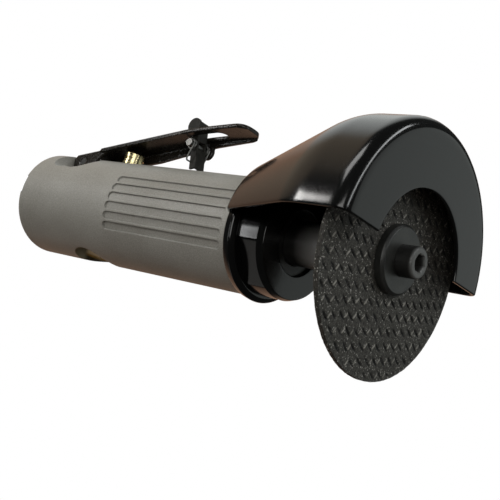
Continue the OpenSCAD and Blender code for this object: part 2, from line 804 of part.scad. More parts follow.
// Pin with a head outside the lever's wall and one beside the spring's near coil
module catch_pin() {
    far_y = lever_w / 2 + slip;
    far_end = far_y + catch_pin_head_t;
    near_y = spring_out_y + catch_wire_r + free_gap;
    near_end = near_y + catch_pin_head_t;
    near_r = catch_coil_r - catch_wire_r;
    color(steel) translate([catch_x, 0, catch_z]) rotate([90, 0, 0]) rotate_extrude($fn = small_fn)
        polygon([
            [0, -far_end], [catch_pin_head_r, -far_end], [catch_pin_head_r, -far_y], [catch_pin_r, -far_y],
            [catch_pin_r, near_y], [near_r, near_y], [near_r, near_end], [0, near_end]]);
}

// Double torsion spring: a leg hooked through the window, a coil on each side and a bridge behind the catch
spring_run = 3.8;
spring_turn_r = 0.6;
spring_turn_y = 2.4;
spring_end = 1.9;
spring_end_y = 1.2;
spring_stick = 0.5;
spring_lean = 0.9;
spring_bridge = 6.2;
spring_bend = 0.9;
spring_bend_steps = 4;
spring_in_y = catch_w / 2 + 2 * free_gap;
spring_out_y = spring_in_y + catch_coil_turns * catch_coil_pitch;
spring_leg_b = catch_under - sheet - catch_wire_r - slip;
coil_count = ceil(catch_coil_turns * 2 * coil_rings);
half_spring = concat(
    [[-spring_end, spring_end_y, catch_under + spring_stick],
        [-spring_end, spring_end_y, spring_leg_b + sheet / 2],
        [-spring_end - catch_wire_r, spring_end_y + catch_wire_r, spring_leg_b - catch_wire_r]],
    [for (i = [2 * spring_bend_steps:-1:0]) let (t = i / spring_bend_steps / 2) [
        -spring_run - spring_turn_r * sin(180 * t), spring_in_y + (spring_turn_y - spring_in_y) * t,
        catch_coil_r + spring_turn_r * (1 - cos(180 * t))]],
    [for (i = [0:coil_count]) let (t = i / coil_count, a = 90 - 360 * catch_coil_turns * t) [
        catch_coil_r * cos(a), spring_in_y + (spring_out_y - spring_in_y) * t, catch_coil_r * sin(a)]],
    [for (i = [0:spring_bend_steps]) let (t = i / spring_bend_steps) [
        -spring_lean + (spring_lean - catch_coil_r) * t, spring_out_y - spring_bend * (1 - cos(90 * t)),
        spring_bend * (1 - sin(90 * t)) - spring_bridge]]);
catch_path = concat(half_spring, [for (p = reversed(half_spring)) [p[0], -p[1], p[2]]]);

module catch_spring() {
    color(steel) in_lever_frame() translate([catch_along, 0, catch_b])
        wire(catch_path, catch_wire_r, wire_sides);
}

echo("throttle spring least gap", self_gap(throttle_path, throttle_wire_r, coil_rings / 2));
echo("catch spring least gap", self_gap(catch_path, catch_wire_r, coil_rings));

// Motor stack
module motor_ports(x, len) {
    translate([0, 0, port_z]) along_x(x - cut) cylinder(r = port_r, h = len + cut + cut, $fn = small_fn);
    for (y = [-exhaust_y, exhaust_y]) translate([0, y, exhaust_z]) along_x(x - cut)
        cylinder(r = exhaust_r, h = len + cut + cut, $fn = small_fn);
}

module dowel_hole(x, len) {
    translate([0, 0, dowel_z]) along_x(x - cut)
        cylinder(r = dowel_r + fit, h = len + cut + cut, $fn = small_fn);
}

module motor_gasket() {
    color(rubber) difference() {
        ring_x(floor_x, gasket_t, rear_outer_r, stack_r);
        motor_ports(floor_x, gasket_t);
    }
}

module rear_end_plate() {
    color(steel) difference() {
        along_x(rear_plate_x) cylinder(r = stack_r, h = rear_plate_t);
        along_x(rear_plate_x - cut) cylinder(r = rear_bearing_r + fit, h = rear_bearing_w + cut);
        along_x(rear_plate_x) cylinder(r = rear_shaft_r + shaft_gap, h = rear_plate_t + cut);
        motor_ports(rear_plate_x, rear_plate_t);
        dowel_hole(rear_plate_x, rear_plate_t);
    }
}

module cylinder_liner() {
    color(steel) difference() {
        along_x(liner_x) cylinder(r = stack_r, h = liner_len);
        translate([0, 0, liner_offset]) along_x(liner_x - cut)
            cylinder(r = liner_bore_r, h = liner_len + cut + cut);
        dowel_hole(liner_x, liner_len);
    }
}

module front_end_plate() {
    color(steel) difference() {
        ring_x(front_plate_x, front_plate_t, front_shaft_r + shaft_gap, stack_r);
        dowel_hole(front_plate_x, front_plate_t);
    }
}

module motor_dowel() {
    color(steel) translate([0, 0, dowel_z]) along_x(rear_plate_x + slip)
        cylinder(r = dowel_r, h = nut_x - rear_plate_x - 2 * slip, $fn = small_fn);
}

module rotor() {
    x0 = liner_x + rotor_end_gap;
    x1 = front_plate_x - rotor_end_gap;
    shaft_front = nose_x - dust_recess - dust_t + shaft_in_hub;
    color(steel) difference() {
        turned([[0, rear_plate_x], [rear_shaft_r, rear_plate_x], [rear_shaft_r, x0], [rotor_r, x0],
            [rotor_r, x1], [front_shaft_r, x1], [front_shaft_r, shaft_front], [0, shaft_front]]);
        for (i = [0:vane_count - 1]) rotate([360 * i / vane_count, 0, 0])
            translate([x0 - cut, -slot_w / 2, vane_low_r - slip])
                cube([x1 - x0 + 2 * cut, slot_w, rotor_r]);
    }
}

module vane(i) {
    x0 = liner_x + rotor_end_gap;
    color(phenolic) rotate([360 * (i - 1) / vane_count, 0, 0])
        translate([x0 + slip, -vane_t / 2, vane_low_r])
            cube([liner_len - 2 * rotor_end_gap - 2 * slip, vane_t, vane_h]);
}

module rear_bearing_outer() {
    color(steel) bearing_ring(rear_plate_x, rear_bearing_w, rear_outer_r, rear_bearing_r,
        rear_ring_r, rear_ball_r);
}

module rear_bearing_inner() {
    color(steel) bearing_ring(rear_plate_x, rear_bearing_w, rear_shaft_r + fit, rear_inner_r,
        rear_ring_r, rear_ball_r);
}

module rear_bearing_balls() {
    color(steel) bearing_balls(rear_plate_x + rear_bearing_w / 2, rear_ring_r, rear_ball_r);
}

module rear_bearing_cage() {
    color(brass) bearing_cage(rear_plate_x + rear_bearing_w / 2, rear_ring_r, rear_ball_r);
}

module front_bearing_outer() {
    color(steel) bearing_ring(front_bearing_x, front_bearing_w, front_outer_r, front_bearing_r,
        front_ring_r, front_ball_r);
}

module front_bearing_inner() {
    color(steel) bearing_ring(front_bearing_x, front_bearing_w, front_shaft_r + fit, front_inner_r,
        front_ring_r, front_ball_r);
}

module front_bearing_balls() {
    color(steel) bearing_balls(front_bearing_x + front_bearing_w / 2, front_ring_r, front_ball_r);
}

module front_bearing_cage() {
    color(brass) bearing_cage(front_bearing_x + front_bearing_w / 2, front_ring_r, front_ball_r);
}

// Nose nut with its thread, the shoulder for the guard's collar and the hexagon
module nose_nut() {
    color(gloss_black) difference() {
        union() {
            along_x(nut_x) cylinder(r = stack_r, h = hex_x - nut_x);
            along_x(front_x) cylinder(r = shoulder_r, h = collar_len);
            intersection() {
                rotate([nut_turn, 0, 0]) along_x(hex_x) cylinder(r = nut_corner_r, h = nut_hex_len, $fn = 6);
                turned([[0, hex_x], [nut_corner_r, hex_x], [nut_corner_r, nose_x - nut_chamfer],
                    [nut_corner_r - 2 * nut_chamfer, nose_x], [0, nose_x]]);
            }
        }
        along_x(nut_x - cut) cylinder(r = nut_bore_r, h = nose_x - nut_x + cut + cut);
        along_x(front_bearing_x) cylinder(r = front_bearing_r + fit, h = nose_x - front_bearing_x + cut);
    }
}

module dust_shield() {
    color(dark_steel)
        ring_x(nose_x - dust_recess - dust_t, dust_t, hub_r + shaft_gap, front_bearing_r);
}

// Guard: outer line of the cowl from the collar to the arch, as [radius, x]
guard_start = [collar_r, front_x];
guard_shoulder = [collar_r + (guard_r - collar_r) * shoulder_rise_share,
    front_x + guard_len * shoulder_run_share];
guard_band = [guard_r, front_x + guard_len * guard_band_share];
guard_edge = [guard_r, front_x + guard_len];
guard_centre = [0, front_x + guard_len];
guard_line = concat([guard_start],
    corner(guard_start, guard_shoulder, guard_band, guard_shoulder_round, arc_steps),
    corner(guard_shoulder, guard_band, guard_edge, guard_band_round, arc_steps),
    corner(guard_band, guard_edge, guard_centre, guard_edge_round, arc_steps), [guard_centre]);

module guard_cowl() {
    difference() {
        turned(concat(guard_line, reversed(beside(guard_line, -guard_sheet))));
        translate([front_x - cut, -2 * guard_r, guard_edge_z - 2 * guard_r])
            cube([guard_len + 2 * cut, 4 * guard_r, 2 * guard_r]);
        translate([0, 0, -arch_drop]) along_x(front_x + guard_len - guard_edge_round)
            cylinder(r = arch_r, h = guard_edge_round + cut);
    }
}

module guard() {
    color(gloss_black) difference() {
        union() {
            guard_cowl();
            ring_x(front_x, collar_len - guard_play, shoulder_r + fit, collar_r);
        }
        along_x(front_x - cut) cylinder(r = shoulder_r + fit, h = collar_len + cut);
    }
}

// Hub, wheel and the wheel's fixing
module wheel_hub() {
    x0 = nose_x - dust_recess - dust_t;
    flange_x = wheel_x - inner_flange_t;
    flat_x = (nose_x + flange_x - hub_flat_len) / 2;
    color(dark_steel) difference() {
        turned([[0, x0], [hub_boss_r, x0], [hub_boss_r, x0 + hub_boss_t], [hub_r, x0 + hub_boss_t],
            [hub_r, flange_x], [flange_r, flange_x], [flange_r, wheel_x], [pilot_r, wheel_x],
            [pilot_r, wheel_x + pilot_len], [0, wheel_x + pilot_len]]);
        along_x(x0 - cut) cylinder(r = front_shaft_r + fit, h = shaft_in_hub + cut + slip);
        along_x(screw_x - screw_len - slip) cylinder(r = screw_r + fit, h = screw_len + cut);
        for (side = [0, 180]) rotate([side, 0, 0])
            translate([flat_x, -hub_r, hub_flat_af / 2]) cube([hub_flat_len, 2 * hub_r, hub_r]);
    }
}

module cutting_wheel() {
    color(abrasive) ring_x(wheel_x, wheel_t, wheel_bore_r, wheel_r);
}

module outer_flange() {
    color(dark_steel) turned([[screw_hole_r, wheel_front_x], [flange_r, wheel_front_x],
        [flange_r, screw_x - flange_chamfer], [flange_r - flange_chamfer, screw_x], [screw_hole_r, screw_x]]);
}

module wheel_screw() {
    head_x = screw_x + screw_head_h;
    color(dark_steel) difference() {
        turned([[0, screw_x - screw_len], [screw_r, screw_x - screw_len], [screw_r, screw_x],
            [screw_head_r, screw_x], [screw_head_r, head_x - screw_chamfer],
            [screw_head_r - screw_chamfer, head_x], [0, head_x]]);
        along_x(head_x - socket_depth) cylinder(r = socket_af / 2 / cos(30), h = socket_depth + cut, $fn = 6);
    }
}

housing();
inlet_bushing();
inlet_seal();
inlet_screen();
exhaust_silencers();
throttle_bushing();
throttle_stem();
valve_seal();
throttle_spring();
regulator();
regulator_seal();
regulator_clip();
lever();
lever_pin();
safety_catch();
catch_pin();
catch_spring();
motor_gasket();
rear_end_plate();
cylinder_liner();
front_end_plate();
motor_dowel();
rotor();
for (i = [1:vane_count]) vane(i);
rear_bearing_outer();
rear_bearing_inner();
rear_bearing_balls();
rear_bearing_cage();
front_bearing_outer();
front_bearing_inner();
front_bearing_balls();
front_bearing_cage();
nose_nut();
dust_shield();
guard();
wheel_hub();
cutting_wheel();
outer_flange();
wheel_screw();
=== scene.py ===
import json
import math

import bmesh
import bpy
import numpy as np
from mathutils import Matrix, Vector


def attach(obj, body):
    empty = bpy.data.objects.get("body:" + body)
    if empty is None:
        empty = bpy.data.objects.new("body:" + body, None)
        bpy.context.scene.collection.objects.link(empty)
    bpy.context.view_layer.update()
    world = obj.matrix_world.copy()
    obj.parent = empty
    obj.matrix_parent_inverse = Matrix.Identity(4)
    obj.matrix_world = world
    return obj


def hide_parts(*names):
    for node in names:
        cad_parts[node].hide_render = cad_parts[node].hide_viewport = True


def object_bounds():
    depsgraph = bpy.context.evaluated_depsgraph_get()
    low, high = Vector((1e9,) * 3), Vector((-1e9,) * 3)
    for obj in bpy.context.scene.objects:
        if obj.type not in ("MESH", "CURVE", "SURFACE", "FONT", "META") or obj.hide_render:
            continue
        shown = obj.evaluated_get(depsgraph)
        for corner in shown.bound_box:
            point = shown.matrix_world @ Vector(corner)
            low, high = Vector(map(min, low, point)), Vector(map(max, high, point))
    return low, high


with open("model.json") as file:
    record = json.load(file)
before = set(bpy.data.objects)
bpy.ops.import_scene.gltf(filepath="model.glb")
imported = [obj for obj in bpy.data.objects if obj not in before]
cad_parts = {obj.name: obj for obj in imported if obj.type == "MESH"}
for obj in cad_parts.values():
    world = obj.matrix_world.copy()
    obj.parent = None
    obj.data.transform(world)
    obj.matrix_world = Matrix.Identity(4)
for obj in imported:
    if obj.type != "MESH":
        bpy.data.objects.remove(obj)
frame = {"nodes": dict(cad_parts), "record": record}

cadLow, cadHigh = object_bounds()
nodes = frame["nodes"]
mm = 0.001  # all piece settings are in millimetres
near = 0.01  # stations closer than this, in millimetres, count as one
mergeGap = 2e-6  # metres between loose triangles that belong together
print("frame loaded:", len(nodes), "nodes")


# Shader helpers


def setColour(tree, socket, colour):
    # a plain colour is written into the socket, an output is linked to it
    if isinstance(colour, tuple):
        socket.default_value = (*colour, 1)
    else:
        tree.links.new(colour, socket)


def blend(tree, share, first, second, kind="MIX"):
    # first colour turned into the second by a share, which is an output or a plain number
    node = tree.nodes.new("ShaderNodeMix")
    node.data_type = "RGBA"
    node.blend_type = kind
    if isinstance(share, float):
        node.inputs["Factor"].default_value = share
    else:
        tree.links.new(share, node.inputs["Factor"])
    setColour(tree, node.inputs[6], first)
    setColour(tree, node.inputs[7], second)
    return node.outputs[2]


def span(tree, value, low, high, lowOut=0.0, highOut=1.0, smooth=False):
    # value between low and high mapped to a range of outputs, straight or with soft ends
    node = tree.nodes.new("ShaderNodeMapRange")
    if smooth:
        node.interpolation_type = "SMOOTHSTEP"
    for key, number in zip(("From Min", "From Max", "To Min", "To Max"), (low, high, lowOut, highOut)):
        node.inputs[key].default_value = number
    tree.links.new(value, node.inputs["Value"])
    return node.outputs["Result"]


def vectorMath(tree, kind, first, second=None):
    node = tree.nodes.new("ShaderNodeVectorMath")
    node.operation = kind
    tree.links.new(first, node.inputs[0])
    if second is not None:
        node.inputs[1].default_value = second
    return node


def noise(tree, where, scale, detail=3.0, rough=0.5):
    tex = tree.nodes.new("ShaderNodeTexNoise")
    tex.inputs["Scale"].default_value = scale
    tex.inputs["Detail"].default_value = detail
    tex.inputs["Roughness"].default_value = rough
    tree.links.new(where, tex.inputs["Vector"])
    return tex.outputs["Fac"]


def cells(tree, where, scale):
    tex = tree.nodes.new("ShaderNodeTexVoronoi")
    tex.inputs["Scale"].default_value = scale
    tree.links.new(where, tex.inputs["Vector"])
    return tex


def ramp(tree, value, low, high, lowColour, highColour):
    node = tree.nodes.new("ShaderNodeValToRGB")
    first, last = node.color_ramp.elements
    first.position, last.position = low, high
    first.color = (*lowColour, 1)
    last.color = (*highColour, 1)
    tree.links.new(value, node.inputs[0])
    return node.outputs["Color"]


def axes(tree, where):
    node = tree.nodes.new("ShaderNodeSeparateXYZ")
    tree.links.new(where, node.inputs[0])
    return node.outputs


def bump(tree, shader, heights, soft=0):
    # chain of bumps over edges softened by the given radius: each entry is (height output, strength, distance)
    last = None
    if soft:
        last = tree.nodes.new("ShaderNodeBevel")
        last.samples = 6
        last.inputs["Radius"].default_value = soft
    for height, strength, distance in heights:
        node = tree.nodes.new("ShaderNodeBump")
        node.inputs["Strength"].default_value = strength
        node.inputs["Distance"].default_value = distance
        tree.links.new(height, node.inputs["Height"])
        if last is not None:
            tree.links.new(last.outputs["Normal"], node.inputs["Normal"])
        last = node
    tree.links.new(last.outputs["Normal"], shader.inputs["Normal"])


# Camera and studio; directions are (right, up, forward) of the camera

studio = {
    "cameraAt": (0.323065, -0.236872, -0.054392),
    "right": (0.748074, 0.590811, 0.302199),
    "up": (-0.133184, -0.312456, 0.940547),
    "forward": (-0.650112, 0.743844, 0.155054),
    "lens": 66.96,
    "sensor": 36,
    "clip": (0.01, 20),
    "target": (0.105, 0.0, 0.0),
    "floorDrop": 0.0005,
    "floorHalf": 3.0,
    "floorTone": (0.82, 0.82, 0.82),
    "floorFade": (0.16, 0.75),
    "roomTone": (0.035, 0.037, 0.036),
    # each wall: its direction, the cosines where it starts and is full, and its tone
    "walls": (
        ((-0.27, -0.10, 0.96), 0.66, 0.88, (0.46, 0.285, 0.195)),
        ((-0.46, 0.72, 0.5), 0.86, 0.97, (0.5, 0.41, 0.31)),
        ((0.12, 0.66, 0.74), 0.88, 0.985, (1.0, 1.04, 1.02)),
        ((-0.774, -0.589, 0.23), 0.966, 0.992, (0.42, 0.41, 0.39)),
    ),
    "ground": (0.13, 0.102, 0.082),
    "sky": ((-0.1, 0.95, -0.2), -0.75, 0.85, (0.36, 0.365, 0.355)),
    # each lamp: name, direction, distance, width, height, direction of its height, power and tone
    "lamps": (
        ("keyLamp", (-0.79, 0.605, -0.10), 0.75, 0.16, 0.126, (0, 1, 0), 1.1, (1.0, 0.985, 0.96)),
        ("topPanel", (-0.22, 0.93, -0.2), 0.9, 0.5, 0.3, (0, 0, 1), 2.2, (1.0, 1.0, 0.985)),
        ("sidePanel", (0.95, -0.16, 0.10), 0.8, 0.7, 0.7, (0, 1, 0), 0.8, (0.93, 1.0, 0.97)),
        ("stripLamp", (0.82, 0.42, -0.35), 0.9, 0.11, 1.0, (0.18, 0.38, 0.905), 2.4, (0.96, 0.99, 1.0)),
        ("frontFill", (-0.05, 0.2, -0.95), 1.1, 0.7, 0.7, (0, 1, 0), 5.0, (1.0, 0.995, 0.97)),
        ("noseStrip", (-0.965, 0.19, -0.14), 0.8, 0.07, 0.33, (0, 1, 0), 0.68, (0.98, 0.99, 1.0)),
    ),
}


def makeCamera(s):
    data = bpy.data.cameras.new("photoCamera")
    camera = bpy.data.objects.new("photoCamera", data)
    bpy.context.scene.collection.objects.link(camera)
    r, u, f = (np.array(s[k]) for k in ("right", "up", "forward"))
    turn = Matrix([[r[i], u[i], -f[i], s["cameraAt"][i]] for i in range(3)] + [[0, 0, 0, 1]])
    camera.matrix_world = turn
    data.lens = s["lens"]
    data.sensor_width = s["sensor"]
    data.clip_start, data.clip_end = s["clip"]
    bpy.context.scene.camera = camera


def cameraWay(s, way):
    # direction of the camera turned into the row's frame
    v = sum((Vector(s[k]) * w for k, w in zip(("right", "up", "forward"), way)), Vector())
    return v.normalized()


def softbox(s, name, way, distance, width, height, along, power, colour):
    # area lamp in a direction from the target, facing it, with its height along another direction
    data = bpy.data.lights.new(name, "AREA")
    data.shape = "RECTANGLE"
    data.size, data.size_y = width, height
    data.energy = power
    data.color = colour
    lamp = bpy.data.objects.new(name, data)
    z = cameraWay(s, way)
    lamp.location = Vector(s["target"]) + z * distance
    lamp.rotation_mode = "QUATERNION"
    x = cameraWay(s, along).cross(z).normalized()
    lamp.rotation_quaternion = Matrix((x, z.cross(x), z)).transposed().to_quaternion()
    bpy.context.scene.collection.objects.link(lamp)


def makeWorld(s):
    # white to the camera; diffuse rays see a soft sky over a dim warm ground; mirrored rays see a dark room with a
    # brown wall behind the tool, a beige wall and a grey panel above that, and a small grey wall low on the left
    world = bpy.data.worlds.new("studioWorld")
    bpy.context.scene.world = world
    world.use_nodes = True
    tree = world.node_tree
    tree.nodes.clear()
    out = tree.nodes.new("ShaderNodeOutputWorld")
    path = tree.nodes.new("ShaderNodeLightPath")
    where = tree.nodes.new("ShaderNodeTexCoord").outputs["Generated"]

    def lit(base, wall):
        way, start, full, tone = wall
        facing = vectorMath(tree, "DOT_PRODUCT", where, cameraWay(s, way)).outputs["Value"]
        return blend(tree, span(tree, facing, start, full, smooth=True), base, tone)

    room = s["roomTone"]
    for wall in s["walls"]:
        room = lit(room, wall)
    colour = blend(tree, path.outputs["Is Glossy Ray"], lit(s["ground"], s["sky"]), room)
    colour = blend(tree, path.outputs["Is Camera Ray"], colour, (1.0, 1.0, 1.0))
    shown = tree.nodes.new("ShaderNodeBackground")
    tree.links.new(colour, shown.inputs["Color"])
    tree.links.new(shown.outputs[0], out.inputs["Surface"])


def makeFloor(s):
    # pale floor under the wheel that fades to white far out and is clear when it is seen from below
    z = cadLow[2] - s["floorDrop"]
    half = s["floorHalf"]
    mesh = bpy.data.meshes.new("studioFloor")
    mesh.from_pydata([(-half, -half, z), (half, -half, z), (half, half, z), (-half, half, z)], [], [(0, 1, 2, 3)])
    floor = bpy.data.objects.new("studioFloor", mesh)
    bpy.context.scene.collection.objects.link(floor)
    mat = bpy.data.materials.new("paleFloor")
    mat.use_nodes = True
    tree = mat.node_tree
    tree.nodes.clear()

    def mixShaders(share, first, second):
        node = tree.nodes.new("ShaderNodeMixShader")
        for socket, value in zip(node.inputs, (share, first.outputs[0], second.outputs[0])):
            tree.links.new(value, socket)
        return node

    out = tree.nodes.new("ShaderNodeOutputMaterial")
    pale = tree.nodes.new("ShaderNodeBsdfDiffuse")
    pale.inputs["Color"].default_value = (*s["floorTone"], 1)
    clear = tree.nodes.new("ShaderNodeBsdfTransparent")
    white = tree.nodes.new("ShaderNodeEmission")
    far = vectorMath(tree, "LENGTH", tree.nodes.new("ShaderNodeTexCoord").outputs["Object"])
    spread = mixShaders(span(tree, far.outputs["Value"], *s["floorFade"], smooth=True), pale, white)
    below = tree.nodes.new("ShaderNodeNewGeometry").outputs["Backfacing"]
    tree.links.new(mixShaders(below, spread, clear).outputs[0], out.inputs["Surface"])
    mesh.materials.append(mat)
    floor.visible_glossy = False
    floor.visible_diffuse = False


makeCamera(studio)
makeWorld(studio)
makeFloor(studio)
for lamp in studio["lamps"]:
    softbox(studio, *lamp)
bpy.context.scene.view_settings.view_transform = "Standard"
print("studio made")


# Materials

noiseSpan = (0.3, 0.7)  # most of a noise lies between these
coatBump = 0.0001

# colours painted into the regulator's bore: olive on one side; on the other, painted shade at the mouth and, deeper in,
# a painted brass gleam and a cream painted highlight
borePaintedLight = {
    "centre": (0.0432, 0.0), "edge": (0.01005, 0.01015), "top": (-0.0075, -0.0065), "side": (0.0002, 0.0022),
    "deep": (-0.0187, -0.0171), "olive": (0.2, 0.175, 0.11), "dark": (0.035, 0.024, 0.008),
    "brassGleam": (0.36, 0.21, 0.045), "creamHighlight": (1.0, 0.83, 0.55),
}

# base of the black coats that pale along X with a painted highlight
paintedHighlightBase = {
    "tone": (300, 4), "colours": ((0.009, 0.009, 0.0085), (0.019, 0.019, 0.018)), "grain": (2600, 2),
    "rough": (0.32, 0.48), "bump": 0.15,
}

coats = {
    # blackened steel: oxide clouds, fine grain, satin
    "blackSteel": {"tone": (240, 4), "colours": ((0.010, 0.0105, 0.0095), (0.022, 0.0225, 0.0205)),
                   "grain": (2400, 2), "rough": (0.3, 0.46), "bump": 0.15},
    # dull black oxide of the catch: olive clouds, little gloss
    "catchOxide": {"tone": (420, 4), "colours": ((0.009, 0.0087, 0.0068), (0.021, 0.0203, 0.0165)),
                   "grain": (2600, 2), "rough": (0.5, 0.66), "bump": 0.2, "shine": 0.25},
    # ground steel with fine scratches along X
    "brightSteel": {"colours": ((0.42, 0.42, 0.43), (0.58, 0.58, 0.58)), "stretch": (200, 3000, 3000),
                    "grain": (1.0, 3), "rough": (0.2, 0.36), "bump": 0.08, "metal": 1},
    # brass with turning lines across Z and a little tarnish
    "turnedBrass": {"tone": (320, 4), "toneTo": 0.75, "colours": ((0.74, 0.64, 0.38), (0.50, 0.42, 0.22)),
                    "stretch": (60, 60, 5200), "grain": (1.0, 2), "rough": (0.16, 0.34), "bump": 0.12, "metal": 1},
    # satin brass of the regulator: mottled, half covered by a dull film
    "castBrass": {"tone": (380, 4), "colours": ((0.66, 0.5, 0.24), (0.46, 0.33, 0.14)),
                  "grain": (2300, 2), "rough": (0.4, 0.6), "bump": 0.2, "metal": 0.35},
    # black coats of the hub and the wheel screw, with a painted highlight that pales the hub towards the wheel and the
    # screw at its rim
    "hubSteel": {**paintedHighlightBase, "paintedHighlight": (0.139, 0.153, (0.36, 0.36, 0.356))},
    "screwSteel": {**paintedHighlightBase, "paintedHighlight": (0.1804, 0.1814, (0.075, 0.077, 0.075))},
    # matt black seal rubber with a soft bloom
    "nitrile": {"colours": ((0.006, 0.006, 0.006), (0.016, 0.016, 0.016)), "grain": (500, 3), "rough": (0.6, 0.8)},
    # brown laminate with cloth layers
    "phenolicSheet": {"colours": ((0.12, 0.05, 0.015), (0.2, 0.09, 0.03)), "grain": (1500, 2), "rough": (0.5, 0.65)},
    # stove enamel of the lever: brown-black, satin, with softened edges
    "leverEnamel": {"tone": (160, 4), "colours": ((0.0075, 0.006, 0.0042), (0.013, 0.0105, 0.0075)),
                    "grain": (2200, 2), "rough": (0.2, 0.34), "bump": 0.08, "shine": 0.3, "soft": 0.0003},
    # drawn spring wire and the pin beside it: grey and dull
    "springWire": {"colours": ((0.13, 0.13, 0.125), (0.24, 0.24, 0.23)), "grain": (1900, 3), "rough": (0.34, 0.5),
                   "bump": 0.15, "metal": 1},
}


def newFinish(name):
    # material with a Principled shader and its Object coordinates
    mat = bpy.data.materials.new(name)
    mat.use_nodes = True
    tree = mat.node_tree
    shader = tree.nodes["Principled BSDF"]
    where = tree.nodes.new("ShaderNodeTexCoord")
    return mat, tree, shader, where.outputs["Object"]


def coat(name):
    # finish from its row in coats: one noise for the tone, and the grain, drawn out by stretch, for roughness and bump
    # and for the tone where that has no noise of its own; the painted highlight is where along X the coat turns into a
    # paler tone
    c = coats[name]
    mat, tree, shader, where = newFinish(name)
    drawn = where
    if "stretch" in c:
        node = tree.nodes.new("ShaderNodeMapping")
        node.inputs["Scale"].default_value = c["stretch"]
        tree.links.new(where, node.inputs["Vector"])
        drawn = node.outputs[0]
    grain = noise(tree, drawn, *c["grain"])
    tone = noise(tree, where, *c["tone"]) if "tone" in c else grain
    colour = ramp(tree, tone, noiseSpan[0], c.get("toneTo", noiseSpan[1]), *c["colours"])
    # paler tone along X: a painted highlight
    if "paintedHighlight" in c:
        start, full, highlightTone = c["paintedHighlight"]
        colour = blend(tree, span(tree, axes(tree, where)["X"], start, full), colour, highlightTone)
    tree.links.new(colour, shader.inputs["Base Color"])
    tree.links.new(span(tree, grain, *noiseSpan, *c["rough"]), shader.inputs["Roughness"])
    shader.inputs["Metallic"].default_value = c.get("metal", 0)
    shader.inputs["Specular IOR Level"].default_value = c.get("shine", 0.5)
    if "bump" in c:
        bump(tree, shader, [(grain, c["bump"], coatBump)], c.get("soft", 0))
    return mat


def greyPaint(b):
    # warm grey paint on a fine casting: cloudy tone with fine specks, pebbled bump, softened edges, and a bare bore
    # where the regulator sits, olive on one side and painted light on the other: painted shade at the mouth, then
    # deeper in a painted brass gleam and a cream painted highlight
    mat, tree, shader, where = newFinish("greyPaint")
    clouds = noise(tree, where, 45, 4)
    pebbles = noise(tree, where, 1000, 3, 0.6)
    grain = noise(tree, where, 2700, 2, 0.6)
    paint = ramp(tree, clouds, *noiseSpan, (0.222, 0.214, 0.192), (0.27, 0.263, 0.241))
    specks = ramp(tree, grain, 0.3, 0.72, (0.8, 0.8, 0.8), (1.25, 1.25, 1.24))
    paint = blend(tree, 1.0, paint, specks, "MULTIPLY")
    place = axes(tree, where)
    fromAxis = vectorMath(tree, "ADD", where, (-b["centre"][0], -b["centre"][1], 0))
    level = vectorMath(tree, "MULTIPLY", fromAxis.outputs[0], (1, 1, 0))
    reach = vectorMath(tree, "LENGTH", level.outputs[0]).outputs["Value"]
    inBore = tree.nodes.new("ShaderNodeMath")
    inBore.operation = "MULTIPLY"
    tree.links.new(span(tree, reach, *b["edge"], 1.0, 0.0), inBore.inputs[0])
    tree.links.new(span(tree, place["Z"], *b["top"], 1.0, 0.0), inBore.inputs[1])
    # painted shade at the bore's mouth, turning deeper in into a painted brass gleam and a cream painted highlight
    boreShadeToHighlight = ramp(tree, span(tree, place["Z"], *b["deep"]), 0.0, 1.0, b["dark"], b["creamHighlight"])
    boreShadeToHighlight.node.color_ramp.elements.new(0.5).color = (*b["brassGleam"], 1)
    paintedBoreLight = blend(tree, span(tree, place["Y"], *b["side"]), b["olive"], boreShadeToHighlight)
    tree.links.new(blend(tree, inBore.outputs[0], paint, paintedBoreLight), shader.inputs["Base Color"])
    tree.links.new(span(tree, pebbles, *noiseSpan, 0.36, 0.5), shader.inputs["Roughness"])
    bump(tree, shader, [(pebbles, 0.3, 0.0002), (grain, 0.35, 0.00012)], 0.0005)
    return mat


def blackEnamel():
    # gloss black enamel with a slight orange peel and faint dust
    mat, tree, shader, where = newFinish("blackEnamel")
    peel = noise(tree, where, 260, 2, 0.4)
    dust = noise(tree, where, 3200, 2, 0.6)
    tone = ramp(tree, dust, 0.68, 0.8, (0.0035, 0.0036, 0.0036), (0.02, 0.02, 0.02))
    tree.links.new(tone, shader.inputs["Base Color"])
    tree.links.new(span(tree, dust, 0.4, 0.8, 0.12, 0.24), shader.inputs["Roughness"])
    bump(tree, shader, [(peel, 0.03, 0.0004)])
    return mat


def sinteredBronze():
    # porous bronze beads, painted darker towards the gaps between them as shade
    mat, tree, shader, where = newFinish("sinteredBronze")
    beads = cells(tree, where, 2600).outputs["Distance"]
    # bead centres lighter, the gaps between beads darker: painted shade
    tone = ramp(tree, beads, 0.1, 0.7, (0.34, 0.21, 0.09), (0.08, 0.045, 0.02))
    tree.links.new(tone, shader.inputs["Base Color"])
    tree.links.new(span(tree, beads, 0.1, 0.7, 0.35, 0.8), shader.inputs["Roughness"])
    shader.inputs["Metallic"].default_value = 0.8
    bump(tree, shader, [(beads, 0.5, -0.0002)])
    return mat


